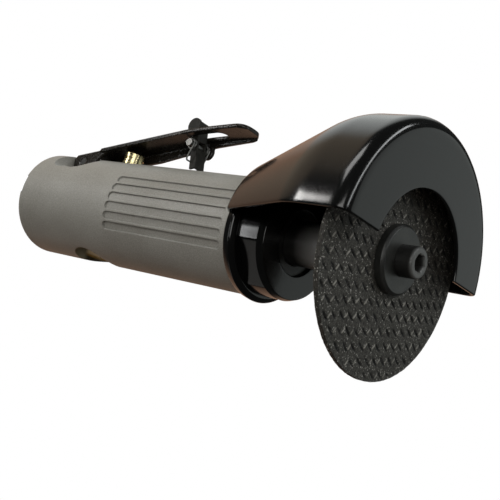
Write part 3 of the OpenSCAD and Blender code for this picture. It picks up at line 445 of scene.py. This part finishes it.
def gritWheel():
    # resin-bonded grit: dark binder with paler threads of the weave, scattered pale grains, and slits painted near
    # black as shade in their troughs
    mat, tree, shader, where = newFinish("gritWheel")
    grains = cells(tree, where, 2700)
    chance = tree.nodes.new("ShaderNodeSeparateColor")
    tree.links.new(grains.outputs["Color"], chance.inputs[0])
    clumps = noise(tree, where, 1300, 4, 0.65)

    def marked(key):
        node = tree.nodes.new("ShaderNodeAttribute")
        node.attribute_name = key
        return node.outputs["Fac"]

    tone = ramp(tree, clumps, 0.34, 0.68, (0.011, 0.0101, 0.008), (0.055, 0.0515, 0.0425))
    for mark, low, high, colour in (
        (marked("thread"), 0.08, 0.8, (0.27, 0.262, 0.235)),
        (chance.outputs[0], 0.93, 0.98, (0.36, 0.355, 0.33)),
        # the slits painted near black: painted shade in the troughs
        (marked("slit"), 0.1, 0.6, (0.0012, 0.0011, 0.0008)),
    ):
        tone = blend(tree, span(tree, mark, low, high, 0.0, 0.9), tone, colour)
    tree.links.new(tone, shader.inputs["Base Color"])
    tree.links.new(span(tree, clumps, *noiseSpan, 0.75, 0.5), shader.inputs["Roughness"])
    bump(tree, shader, [(grains.outputs["Distance"], 0.6, 0.0002), (clumps, 0.5, 0.0003)])
    return mat


finishes = {
    "grey_paint": greyPaint(borePaintedLight), "gloss_black": blackEnamel(), "dark_steel": coat("blackSteel"),
    "steel": coat("brightSteel"), "brass": coat("turnedBrass"), "rubber": coat("nitrile"), "abrasive": gritWheel(),
    "phenolic": coat("phenolicSheet"), "bronze": sinteredBronze(),
}
enamel = coat("leverEnamel")
wire = coat("springWire")
print("finishes made:", len(finishes))


# CAD nodes keep their solids and get a finish and smooth shading


def smoothByAngle(sharp):
    # merges the loose triangles, shades smooth and keeps edges over the sharp angle
    group = bpy.data.node_groups.new("smoothByAngle", "GeometryNodeTree")
    group.interface.new_socket("Geometry", in_out="INPUT", socket_type="NodeSocketGeometry")
    group.interface.new_socket("Geometry", in_out="OUTPUT", socket_type="NodeSocketGeometry")
    start = group.nodes.new("NodeGroupInput")
    end = group.nodes.new("NodeGroupOutput")
    merge = group.nodes.new("GeometryNodeMergeByDistance")
    merge.inputs["Distance"].default_value = mergeGap
    faces = group.nodes.new("GeometryNodeSetShadeSmooth")
    edges = group.nodes.new("GeometryNodeSetShadeSmooth")
    edges.domain = "EDGE"
    edges.inputs["Shade Smooth"].default_value = False
    angle = group.nodes.new("GeometryNodeInputMeshEdgeAngle")
    wide = group.nodes.new("FunctionNodeCompare")
    wide.data_type = "FLOAT"
    wide.operation = "GREATER_THAN"
    wide.inputs[1].default_value = math.radians(sharp)
    link = group.links.new
    link(start.outputs[0], merge.inputs["Geometry"])
    link(merge.outputs[0], faces.inputs["Geometry"])
    link(faces.outputs[0], edges.inputs["Geometry"])
    link(angle.outputs["Unsigned Angle"], wide.inputs[0])
    link(wide.outputs[0], edges.inputs["Selection"])
    link(edges.outputs[0], end.inputs[0])
    return group


smoothing = smoothByAngle(30)
slotOf = {entry["node"]: entry["material_slot"] for entry in frame["record"]["subparts"]}
ownFinish = {
    "safety_catch": coat("catchOxide"), "lever": enamel, "catch_pin": wire, "regulator": coat("castBrass"),
    "wheel_hub": coat("hubSteel"),
}
for name, node in nodes.items():
    node.data.materials.clear()
    node.data.materials.append(ownFinish.get(name, finishes[slotOf[name]]))
    node.modifiers.new("smoothing", "NODES").node_group = smoothing
print("CAD nodes finished")


# Surfaces made from formulas, in millimetres


def unit(v):
    return v / np.linalg.norm(v)


def aroundX(x, r, a):
    # points at station x and radius r, at angle a round the X axis: (x, r cos a, r sin a)
    return np.stack(np.broadcast_arrays(x, r * np.cos(a), r * np.sin(a)), axis=-1)


def filletLine(corners, rounds, step, closed=False):
    # line through the corners (r, x) with an arc of the given radius at each inner corner, points at most step apart
    spots = [np.array(c, float) for c in corners]
    count = len(spots)
    line = [] if closed else [spots[0]]
    for k in range(count) if closed else range(1, count - 1):
        a, b, c = spots[k - 1], spots[k], spots[(k + 1) % count]
        u, v = unit(a - b), unit(c - b)
        half = math.acos(max(-1.0, min(1.0, float(u @ v)))) / 2
        radius = rounds[k if closed else k - 1]
        if radius == 0:
            line.append(b)
            continue
        centre = b + unit(u + v) * radius / math.sin(half)
        start = unit(b + u * radius / math.tan(half) - centre)
        stop = unit(b + v * radius / math.tan(half) - centre)
        across = unit(stop - (stop @ start) * start)
        sweep = math.pi - 2 * half
        turn = np.linspace(0, sweep, max(4, math.ceil(sweep * max(radius / step, 5)) + 1))
        line.extend(centre + radius * (np.cos(turn)[:, None] * start + np.sin(turn)[:, None] * across))
    if not closed:
        line.append(spots[-1])
    line = np.array(line)
    after = np.roll(line, -1, axis=0) if closed else line[1:]
    out = []
    for a, b in zip(line, after):
        parts = max(1, math.ceil(np.linalg.norm(b - a) / step - 1e-6))
        out.append(a + (b - a) * np.arange(parts)[:, None] / parts)
    if not closed:
        out.append(line[-1:])
    return np.concatenate(out)


def fullTurn(count):
    return np.linspace(0, 2 * math.pi, count, endpoint=False)


def turned(loop, count):
    # every point (r, x) of a closed loop swept round the X axis
    return aroundX(loop[:, 1], loop[:, 0], fullTurn(count)[:, None]), True, True, False


def tube(path, radius, sides):
    # circle carried along a path, its frame turned as little as possible from point to point, ends drawn to a point
    path = np.asarray(path, float)
    run = np.gradient(path, axis=0)
    run /= np.linalg.norm(run, axis=1)[:, None]
    side = unit(np.cross(run[0], (0.3, 0.2, 0.93)))
    across = []
    for tangent in run:
        side = unit(side - (side @ tangent) * tangent)
        across.append(side)
    across = np.array(across)
    other = np.cross(run, across)
    a = fullTurn(sides)
    ring = np.cos(a)[None, :, None] * across[:, None, :] + np.sin(a)[None, :, None] * other[:, None, :]
    ends = [np.repeat(path[k][None, None, :], sides, axis=1) for k in (0, -1)]
    return np.concatenate([ends[0], path[:, None, :] + radius * ring, ends[1]]), False, True, False


def merged(points):
    # index of the first of each set of equal points, and for every point the number of its set
    return np.unique(np.round(points, 5), axis=0, return_index=True, return_inverse=True)[1:]


def placePiece(name, mesh, body, node, sharp, material=None):
    # shades a mesh smooth but for edges over the sharp angle, and lets it stand for a CAD node
    mesh.shade_smooth()
    mesh.set_sharp_from_angle(angle=math.radians(sharp))
    mesh.materials.append(material or finishes[slotOf[node]])
    piece = bpy.data.objects.new(name, mesh)
    bpy.context.scene.collection.objects.link(piece)
    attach(piece, body)
    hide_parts(node)
    print(name, len(mesh.polygons), "faces")
    return piece


def makePiece(name, solids, body, node, sharp, material=None):
    # joins closed grids (rows, columns, xyz) into one mesh with every face outward
    points, faces, count = [], [], 0
    for grid, closeRows, closeCols, caps in solids:
        rows, cols = grid.shape[:2]
        i, j = np.meshgrid(np.arange(rows - (not closeRows)), np.arange(cols - (not closeCols)), indexing="ij")
        i, j = i.ravel(), j.ravel()
        i2, j2 = (i + 1) % rows, (j + 1) % cols
        quads = np.stack([i * cols + j, i2 * cols + j, i2 * cols + j2, i * cols + j2], axis=1)
        if caps:
            k = np.arange(cols // 2 - 1)
            strip = np.stack([k, k + 1, cols - 2 - k, cols - 1 - k], axis=1)
            quads = np.concatenate([quads, strip, strip[:, ::-1] + (rows - 1) * cols])
        flat = grid.reshape(-1, 3)
        a, b, c, d = (flat[quads[:, n]] for n in range(4))
        volume = np.einsum("ij,ij->", a, np.cross(b, c)) + np.einsum("ij,ij->", a, np.cross(c, d))
        faces.append((quads if volume > 0 else quads[:, ::-1]) + count)
        points.append(flat)
        count += len(flat)
    points, faces = np.concatenate(points), np.concatenate(faces)
    first, back = merged(points)
    faces = back.ravel()[faces]
    twin = faces == np.roll(faces, -1, axis=1)
    rings = [[v for v, t in zip(face, same) if not t] for face, same in zip(faces.tolist(), twin.tolist())]
    mesh = bpy.data.meshes.new(name)
    mesh.from_pydata(points[first] * mm, [], [ring for ring in rings if len(ring) > 2])
    return placePiece(name, mesh, body, node, sharp, material)


# Guard: half cowl of sheet and the collar that holds it

guardShape = {
    "line": [(21.9, 121.0), (26.24, 124.06), (43.6, 161.02), (43.6, 181.0)], "rounds": (4.0, 22.0, 4.5),
    "lineEndR": 20.0, "plateR": 39.1, "plateRings": 15, "sheet": 1.5, "edgeZ": 1.5,
    "softRows": (0.0, 0.02, 0.08, 0.18, 0.32, 0.48, 0.6),
    "archR": 24.9, "archZ": -2.8, "archPasses": 3, "rows": 150, "step": 1.2, "sharp": 40,
    "collar": [(17.56, 121.0), (21.3, 121.0), (22.1, 124.2), (20.3, 125.5), (17.56, 125.5)],
    "collarRounds": (0.2, 0.5, 0.9, 1.0, 0.3), "collarStep": 1.5, "collarCount": 160,
}


def guardPiece(g):
    # a point is a profile place (r, x), moved half a sheet along the profile's normal, and an angle round X; rows close
    # to the lower edge lie at set heights above it, and the half thickness falls to nothing over a quarter round there
    frontX = g["line"][-1][1]
    line = filletLine([*g["line"], (g["lineEndR"], frontX)], g["rounds"], g["step"])
    toPlate = np.where(line[:, 1] < frontX - near, np.inf, np.abs(line[:, 0] - g["plateR"]))
    line = line[: np.argmin(toPlate) + 1]
    run = np.gradient(line, axis=0)
    run[-1] = (-1, 0)
    run /= np.linalg.norm(run, axis=1)[:, None]
    normal = np.stack([run[:, 1], -run[:, 0]], axis=1)
    half = g["sheet"] / 2
    middle = line - half * normal
    drop = np.array(g["softRows"])
    soft = drop[-1]
    fall = half - soft + np.sqrt(np.maximum(0, soft**2 - (soft - drop) ** 2))
    inward = np.linspace(0, 1, g["plateRings"] + 1)[1:]
    plateFall = np.concatenate([np.full(g["plateRings"], half), fall[::-1][1:]])
    share = np.linspace(0, 1, g["rows"])
    height = np.concatenate([drop[:-1], np.full(g["rows"], soft), drop[:-1][::-1]])
    along = np.concatenate([np.zeros(len(drop) - 1), share, np.ones(len(drop) - 1)])
    rowHalf = np.concatenate([fall[:-1], np.full(g["rows"], half), fall[:-1][::-1]])

    def rowAngle(r):
        low = np.arcsin((g["edgeZ"] + height[:, None]) / r)
        return low + along[:, None] * (math.pi - 2 * low)

    def side(sign):
        thick = rowHalf[:, None] * sign
        r = middle[None, :, 0] + thick * normal[None, :, 0]
        x = middle[None, :, 1] + thick * normal[None, :, 1]
        a = rowAngle(r)
        last = a[:, -1:]
        for turn in range(g["archPasses"]):
            lift = g["archZ"] * np.sin(last)
            reach = lift + np.sqrt(lift**2 + g["archR"] ** 2 - g["archZ"] ** 2)
            last = rowAngle(reach)
        plateR = r[:, -1:] + (reach + soft - r[:, -1:]) * inward
        plateR = np.concatenate([plateR, reach + drop[::-1][1:]], axis=1)
        plateX = frontX - half + sign * np.minimum(rowHalf[:, None], plateFall[None, :])
        pairs = ((x, plateX), (r, plateR), (a, rowAngle(plateR)))
        return aroundX(*(np.concatenate(pair, axis=1) for pair in pairs))

    cowl = np.concatenate([side(1.0), side(-1.0)[:, ::-1]], axis=1)
    collar = filletLine(g["collar"], g["collarRounds"], g["collarStep"], closed=True)
    solids = [(cowl, False, True, True), turned(collar, g["collarCount"])]
    makePiece("guardShell", solids, "guard", "guard", g["sharp"])


guardPiece(guardShape)


# Nose nut: shoulder, round head with two wrench flats, and bearing bore

nutShape = {
    "loop": [(5.0, 110.0), (16.75, 110.0), (16.75, 121.0), (17.5, 121.0), (17.5, 125.55), (19.5, 125.55),
             (19.5, 133.65), (19.6, 133.75), (18.9, 136.2), (11.03, 136.2), (11.03, 126.5), (5.0, 126.5)],
    "rounds": (0, 0.3, 0, 0.2, 0, 0.2, 0, 0, 0.3, 0.3, 0, 0.2), "count": 360, "step": 1.0, "sharp": 22,
    "flats": 35.2, "turn": 41.4, "headFrom": 125.55, "headTo": 133.7, "headR": 15.0, "soft": 0.06, "leastCos": 0.2,
}


def nutPiece(n):
    # turned loop whose radius along the flats is the soft minimum of the loop's and the nearer flat's at that angle:
    # -k log(exp(-loop / k) + exp(-flat / k)), flat = half the flats / cos(angle from its normal)
    loop = filletLine(n["loop"], n["rounds"], n["step"], closed=True)
    r, x = loop.T
    a = fullTurn(n["count"])[:, None]
    fromFlat = (a - math.radians(n["turn"]) + math.pi / 2) % math.pi - math.pi / 2
    flat = n["flats"] / 2 / np.maximum(np.cos(fromFlat), n["leastCos"])
    k = n["soft"]
    softer = -k * np.logaddexp(-r / k, -flat / k)
    head = (x > n["headFrom"] - near) & (x < n["headTo"]) & (r > n["headR"])
    grid = aroundX(x, np.where(head, softer, r), a)
    makePiece("noseNutBody", [(grid, True, True, False)], "body", "nose_nut", n["sharp"])


nutPiece(nutShape)


# Cutting wheel: pressed weave and grit on both faces

wheelShape = {
    "inner": 4.78, "outer": 38.1, "back": 170.9, "front": 172.5, "flatR": 11.4, "rimR": 37.2, "sharp": 60,
    "count": 780, "flatRings": 4, "rings": 84, "every": 3, "fadeIn": 1.2, "fadeOut": (0.8, 1.6), "faceGap": 0.12,
    "rimRound": 0.25, "rimRough": 0.14, "rimWaves": 38.0, "rimNoise": (0.3, 0.9, 21),
    "rowStep": (4.2, 1.02), "lineStep": (0.88, -4.45), "shear": 1.08, "scale": 0.3, "deepest": 0.6,
    "rowWander": (0.16, 6.0, 3), "lineWander": (0.12, 5.0, 5),
    "slit": 0.34, "slitWide": 0.125, "slitFade": (1.9, 4.9), "slitVary": (0.6, 0.4, 11),
    "stroke": 0.2, "strokeWide": 0.1, "strokeFade": (1.6, 5.0, 0.03), "strokeVary": (1.5, 0.25, 17),
    "strokeLean": (0.33, 1.05, 0.25), "grit": 0.1, "gritNoise": ((1.0, 0.62, 7), (0.6, 1.5, 9)), "gritMean": 0.8,
}


def hashNoise(a, b, seed):
    # repeatable value from 0 to 1 for whole numbers a and b
    v = np.sin(a * 127.1 + b * 311.7 + seed * 74.7) * 43758.5453
    return v - np.floor(v)


def valueNoise(y, z, size, seed):
    # values at the corners of a square net of the given size, blended smoothly between them
    u, v = y / size, z / size
    i, j = np.floor(u), np.floor(v)
    f, g = u - i, v - j
    f, g = f * f * (3 - 2 * f), g * g * (3 - 2 * g)
    low = hashNoise(i, j, seed) * (1 - f) + hashNoise(i + 1, j, seed) * f
    top = hashNoise(i, j + 1, seed) * (1 - f) + hashNoise(i + 1, j + 1, seed) * f
    return low * (1 - g) + top * g


def weave(w, y, z):
    # pressed weave: in cell coordinates (a along a row, b across rows) each row is a saw of overlapping scales that
    # falls from one slanted slit to the next and fades between rows; a trough lies on every slit, a raised thread
    # leans the other way from the slit's upper end, and grit lies over all; gives depth, slit and thread strengths
    def wander(by):
        strength, size, seed = by
        return strength * (valueNoise(y, z, size, seed) - 0.5)

    rowY, rowZ = w["rowStep"]
    lineY, lineZ = w["lineStep"]
    area = rowY * lineZ - rowZ * lineY
    a = (y * lineZ - z * lineY) / area + wander(w["rowWander"])
    b = (rowY * z - rowZ * y) / area + wander(w["lineWander"])
    row = np.round(b)
    b = b - row
    slant = a - w["shear"] * b
    part = slant - np.floor(slant)
    toSlit = np.minimum(part, 1 - part)
    window = np.cos(math.pi * b) ** 2
    full, fade = w["slitFade"]
    slit = np.clip(full - fade * np.abs(b), 0, 1) * np.exp(-((toSlit / w["slitWide"]) ** 2))
    least, more, seed = w["slitVary"]
    slit = slit * (least + more * hashNoise(np.round(slant), row, seed))
    ahead, tilt, rowOff = w["strokeLean"]
    lean = a + ahead + tilt * (b + rowOff)
    off = lean - np.round(lean)
    full, fade, rowOff = w["strokeFade"]
    thread = np.clip(full - fade * np.abs(b + rowOff), 0, 1) * np.exp(-((off / w["strokeWide"]) ** 2))
    more, less, seed = w["strokeVary"]
    thread = thread * np.clip(more * hashNoise(np.round(lean), row, seed) - less, 0, 1) * (1 - slit)
    grit = sum(share * valueNoise(y, z, size, seed) for share, size, seed in w["gritNoise"]) - w["gritMean"]
    depth = w["scale"] * (0.5 + window * (part - 0.5)) + w["slit"] * slit - w["stroke"] * thread + w["grit"] * grit
    return np.clip(depth, 0, w["deepest"]), slit, thread


def wheelPiece(w):
    # polar grid on each face, sunk by the weave's depth between the flange and the rim, joined over a rough rim
    faceR = w["outer"] - w["faceGap"]
    r = np.concatenate([np.linspace(w["inner"], w["flatR"], w["flatRings"], endpoint=False),
                        np.linspace(w["flatR"], faceR, w["rings"])])
    a = fullTurn(w["count"])[:, None]
    line, size, seed = w["rimNoise"]
    rough = w["rimRough"] * valueNoise(a * w["rimWaves"], a * 0 + line, size, seed)
    r = np.minimum(r[None, :], faceR - rough)
    y, z = r * np.cos(a), r * np.sin(a)
    past, over = w["fadeOut"]
    rise = np.clip((r - w["flatR"]) / w["fadeIn"], 0, 1) * np.clip((w["rimR"] + past - r) / over, 0, 1)
    depth, slit, thread = weave(w, y, z)
    front = np.stack([w["front"] - depth * rise, y, z], axis=2)
    some = slice(None, None, w["every"])
    y, z, riseBack = y[:, some], z[:, some], rise[:, some]
    depthBack, slitBack, threadBack = weave(w, -y, z)
    rear = np.stack([w["back"] + depthBack * riseBack, y, z], axis=2)
    rimX = np.array([w["front"] - w["rimRound"], (w["front"] + w["back"]) / 2, w["back"] + w["rimRound"]])
    rim = aroundX(rimX, w["outer"] - rough, a)
    loop = np.concatenate([front, rim, rear[:, ::-1]], axis=1)
    piece = makePiece("cuttingDisc", [(loop, True, True, False)], "spindle", "cutting_wheel", w["sharp"])
    first = merged(loop.reshape(-1, 3))[0]
    for name, ahead, behind in (("slit", slit, slitBack), ("thread", thread, threadBack)):
        parts = [ahead * rise, np.zeros(rim.shape[:2]), (behind * riseBack)[:, ::-1]]
        value = np.concatenate(parts, axis=1).ravel()[first]
        piece.data.attributes.new(name, "FLOAT", "POINT").data.foreach_set("value", value.astype(np.float32))


wheelPiece(wheelShape)


# Outer flange and wheel screw

flangeShape = {
    "loop": [(3.1, 172.5), (11.0, 172.5), (11.0, 174.8), (10.1, 175.7), (3.1, 175.7)],
    "rounds": (0, 0.25, 0.35, 0.35, 0.2), "count": 160, "step": 0.9, "sharp": 32,
}
screwShape = {
    "line": [(0.0, 157.7), (3.0, 157.7), (3.0, 175.7), (5.0, 175.7), (5.0, 181.6), (3.2, 181.6)],
    "rounds": (0.4, 0, 0.2, 0.95), "count": 192, "step": 0.6, "sharp": 32,
    "socket": 5.0, "lead": 0.35, "leadPast": 0.15, "floor": 178.4,
    # rings of the socket: share of the hexagon, more, and the place from the front face or from the floor
    "mouth": ((1.0, 0.05, -0.3), (1.0, 0.0, -0.5)), "bottom": ((0.97, 0.0, 0.1), (0.5, 0.0, -0.3), (0.0, 0.0, -0.7)),
}


def flangePiece(f):
    loop = filletLine(f["loop"], f["rounds"], f["step"], closed=True)
    makePiece("outerFlangeDisc", [turned(loop, f["count"])], "spindle", "outer_flange", f["sharp"])


def screwPiece(s):
    # turned shank and head; from the front face the rings turn into a hexagon, half its flats / cos(angle from the
    # nearest flat), that runs down the socket to a shallow cone
    line = filletLine(s["line"], s["rounds"], s["step"])
    frontX = line[-1, 1]
    r, x = line[:-1].T
    a = fullTurn(s["count"])[:, None]
    hexagon = s["socket"] / 2 / np.cos(a % (math.pi / 3) - math.pi / 6)
    corner = s["socket"] / 2 / math.cos(math.pi / 6)
    radii = [np.broadcast_to(r, (len(a), len(r))), np.maximum(corner + s["leadPast"], hexagon + s["lead"])]
    places = [*x, frontX]
    for start, rings in ((frontX, s["mouth"]), (s["floor"], s["bottom"])):
        for share, more, offset in rings:
            radii.append(hexagon * share + more)
            places.append(start + offset)
    grid = aroundX(np.array(places), np.concatenate(radii, axis=1), a)
    makePiece("wheelScrewBody", [(grid, True, False, False)], "spindle", "wheel_screw", s["sharp"], coat("screwSteel"))


flangePiece(flangeShape)
screwPiece(screwShape)


# Lever: the CAD sheet with a blunter tip, and the web that joins its ears

leverShape = {
    "pin": (20.1, 18.3), "slope": 13.6, "half": 6.25, "tip": 83.0, "blunt": 3.2, "mostU": 0.9999, "grain": 1.3,
    "passes": 7, "liftFrom": 64.0, "lift": 1.4, "reach": 0.6, "sharp": 32,
}
webShape = {
    "loop": [(3.8, 1.95), (11.2, 2.25), (11.2, 3.4), (3.8, 3.05)], "rounds": (0.45, 0.2, 0.2, 0.5), "step": 0.5,
    "half": 4.35, "rows": 25, "crown": 0.12, "sharp": 35,
}
slopeCos, slopeSin = math.cos(math.radians(leverShape["slope"])), math.sin(math.radians(leverShape["slope"]))
pinX, pinZ = leverShape["pin"]


def fromLever(s, y, t):
    # places in the lever's own frame, s along it and t up from its pin, in the row's frame
    x, z = pinX + s * slopeCos - t * slopeSin, pinZ + s * slopeSin + t * slopeCos
    return np.stack(np.broadcast_arrays(x, y, z), axis=-1)


def leverPiece(v):
    # sheet cut finely, then in the lever's own frame: within half a width of the tip, near y is stretched from the
    # circle sqrt(1 - u^2) to the fuller curve (1 - u^n)^(1/n); the tip's curl is eased by a rise that grows with the
    # square of the distance
    form = bmesh.new()
    form.from_mesh(nodes["lever"].data)
    bmesh.ops.remove_doubles(form, verts=form.verts, dist=mergeGap)
    for turn in range(v["passes"]):
        long = [edge for edge in form.edges if edge.calc_length() > v["grain"] * mm]
        if long:
            bmesh.ops.subdivide_edges(form, edges=long, cuts=1)
            bmesh.ops.triangulate(form, faces=[face for face in form.faces if len(face.verts) > 3])
    mesh = bpy.data.meshes.new("leverStrap")
    form.to_mesh(mesh)
    form.free()
    spots = np.empty(3 * len(mesh.vertices))
    mesh.vertices.foreach_get("co", spots)
    x, y, z = (spots.reshape(-1, 3) / mm).T
    x, z = x - pinX, z - pinZ
    s, t = x * slopeCos + z * slopeSin, z * slopeCos - x * slopeSin
    u = np.clip((s - v["tip"] + v["half"]) / v["half"], 0, v["mostU"])
    y = y * np.where(y < 0, (1 - u ** v["blunt"]) ** (1 / v["blunt"]) / np.sqrt(1 - u * u), 1)
    out = np.clip((s - v["liftFrom"]) / (v["tip"] - v["liftFrom"]), 0, 1)
    spots = fromLever(s + v["reach"] * out, y, t + v["lift"] * out**2) * mm
    mesh.vertices.foreach_set("co", spots.ravel())
    placePiece("leverStrap", mesh, "lever", "lever", v["sharp"], enamel)


def webPiece(w):
    # rounded slab (s, t) of the lever's frame carried across y, its back crowned by a parabola in y
    loop = filletLine(w["loop"], w["rounds"], w["step"], closed=True)
    y = np.linspace(-w["half"], w["half"], w["rows"])[:, None]
    grid = fromLever(loop[:, 0], y, loop[:, 1] - w["crown"] * (y / w["half"]) ** 2)
    makePiece("leverWeb", [(grid, False, True, True)], "lever", "lever", w["sharp"], enamel)


leverPiece(leverShape)
webPiece(webShape)


# Double torsion spring of the catch: the coils go with the lever, the legs on the catch go with the catch

springShape = {
    "at": (57.15, -1.5), "wire": 0.3, "coil": 1.75, "turns": 1.3, "inY": 3.2, "outY": 4.5, "run": 3.8, "turnR": 0.6,
    "turnY": 2.4, "end": (1.9, 1.2), "legUp": 3.35, "top": 5.5, "sheet": 1.3, "lean": 0.9, "bridge": 6.2, "bend": 0.9,
    "turnPoints": 9, "hookPoints": 46, "coilPoints": 90, "bendPoints": 7, "legPoints": 30, "passes": 3, "sides": 12,
    "sharp": 50,
}


def springPieces(s):
    # lever part: hook through the window, half turn, run along the coil's top and the coil itself at angle
    # 90 - 360 * turns * t while y runs from inY to outY; catch part: leg from the coil's front down to the bridge
    def inRow(path, hand):
        return fromLever(path[:, 0] + s["at"][0], hand * path[:, 1], path[:, 2] + s["at"][1])

    def eased(spots, count):
        # spots joined by straight runs, points evenly spread, corners rounded by passes of averaging
        spots = np.array(spots, float)
        far = np.concatenate([[0], np.cumsum(np.linalg.norm(np.diff(spots, axis=0), axis=1))])
        way = np.linspace(0, far[-1], count)
        line = np.stack([np.interp(way, far, spots[:, k]) for k in range(3)], axis=1)
        for turn in range(s["passes"]):
            line[1:-1] = (line[:-2] + 2 * line[1:-1] + line[2:]) / 4
        return line

    def wound(paths, name, body):
        makePiece(name, [tube(path, s["wire"], s["sides"]) for path in paths], body, "catch_spring", s["sharp"], wire)

    endS, endY = s["end"]
    hook = [(-endS, endY, s["top"]), (-endS, endY, s["legUp"] + s["sheet"] / 2),
            (-endS - s["wire"], endY + s["wire"], s["legUp"] - s["wire"])]
    for k in np.linspace(0, 1, s["turnPoints"])[::-1]:
        hook.append((-s["run"] - s["turnR"] * math.sin(math.pi * k), s["inY"] + (s["turnY"] - s["inY"]) * k,
                     s["coil"] + s["turnR"] * (1 - math.cos(math.pi * k))))
    hook.append((0.0, s["inY"], s["coil"]))
    t = np.linspace(0, 1, s["coilPoints"])
    a = math.pi / 2 - 2 * math.pi * s["turns"] * t
    coil = np.stack([s["coil"] * np.cos(a), s["inY"] + (s["outY"] - s["inY"]) * t, s["coil"] * np.sin(a)], axis=1)
    winding = np.concatenate([eased(hook, s["hookPoints"])[:-1], coil])
    t = np.linspace(0, 1, s["bendPoints"])
    bend = np.stack([-s["lean"] + (s["lean"] - s["coil"]) * t, s["outY"] - s["bend"] * (1 - np.cos(math.pi / 2 * t)),
                     s["bend"] * (1 - np.sin(math.pi / 2 * t)) - s["bridge"]], axis=1)
    leg = eased([coil[-4], coil[-1], *bend], s["legPoints"])
    leg = np.concatenate([leg, [leg[-1] * (1, 0.5, 1)]])
    wound([inRow(winding, hand) for hand in (-1.0, 1.0)], "catchSpringCoils", "lever")
    wound([np.concatenate([inRow(leg, -1.0), inRow(leg, 1.0)[::-1]])], "catchSpringBridge", "catch")


springPieces(springShape)
print("pieces made")
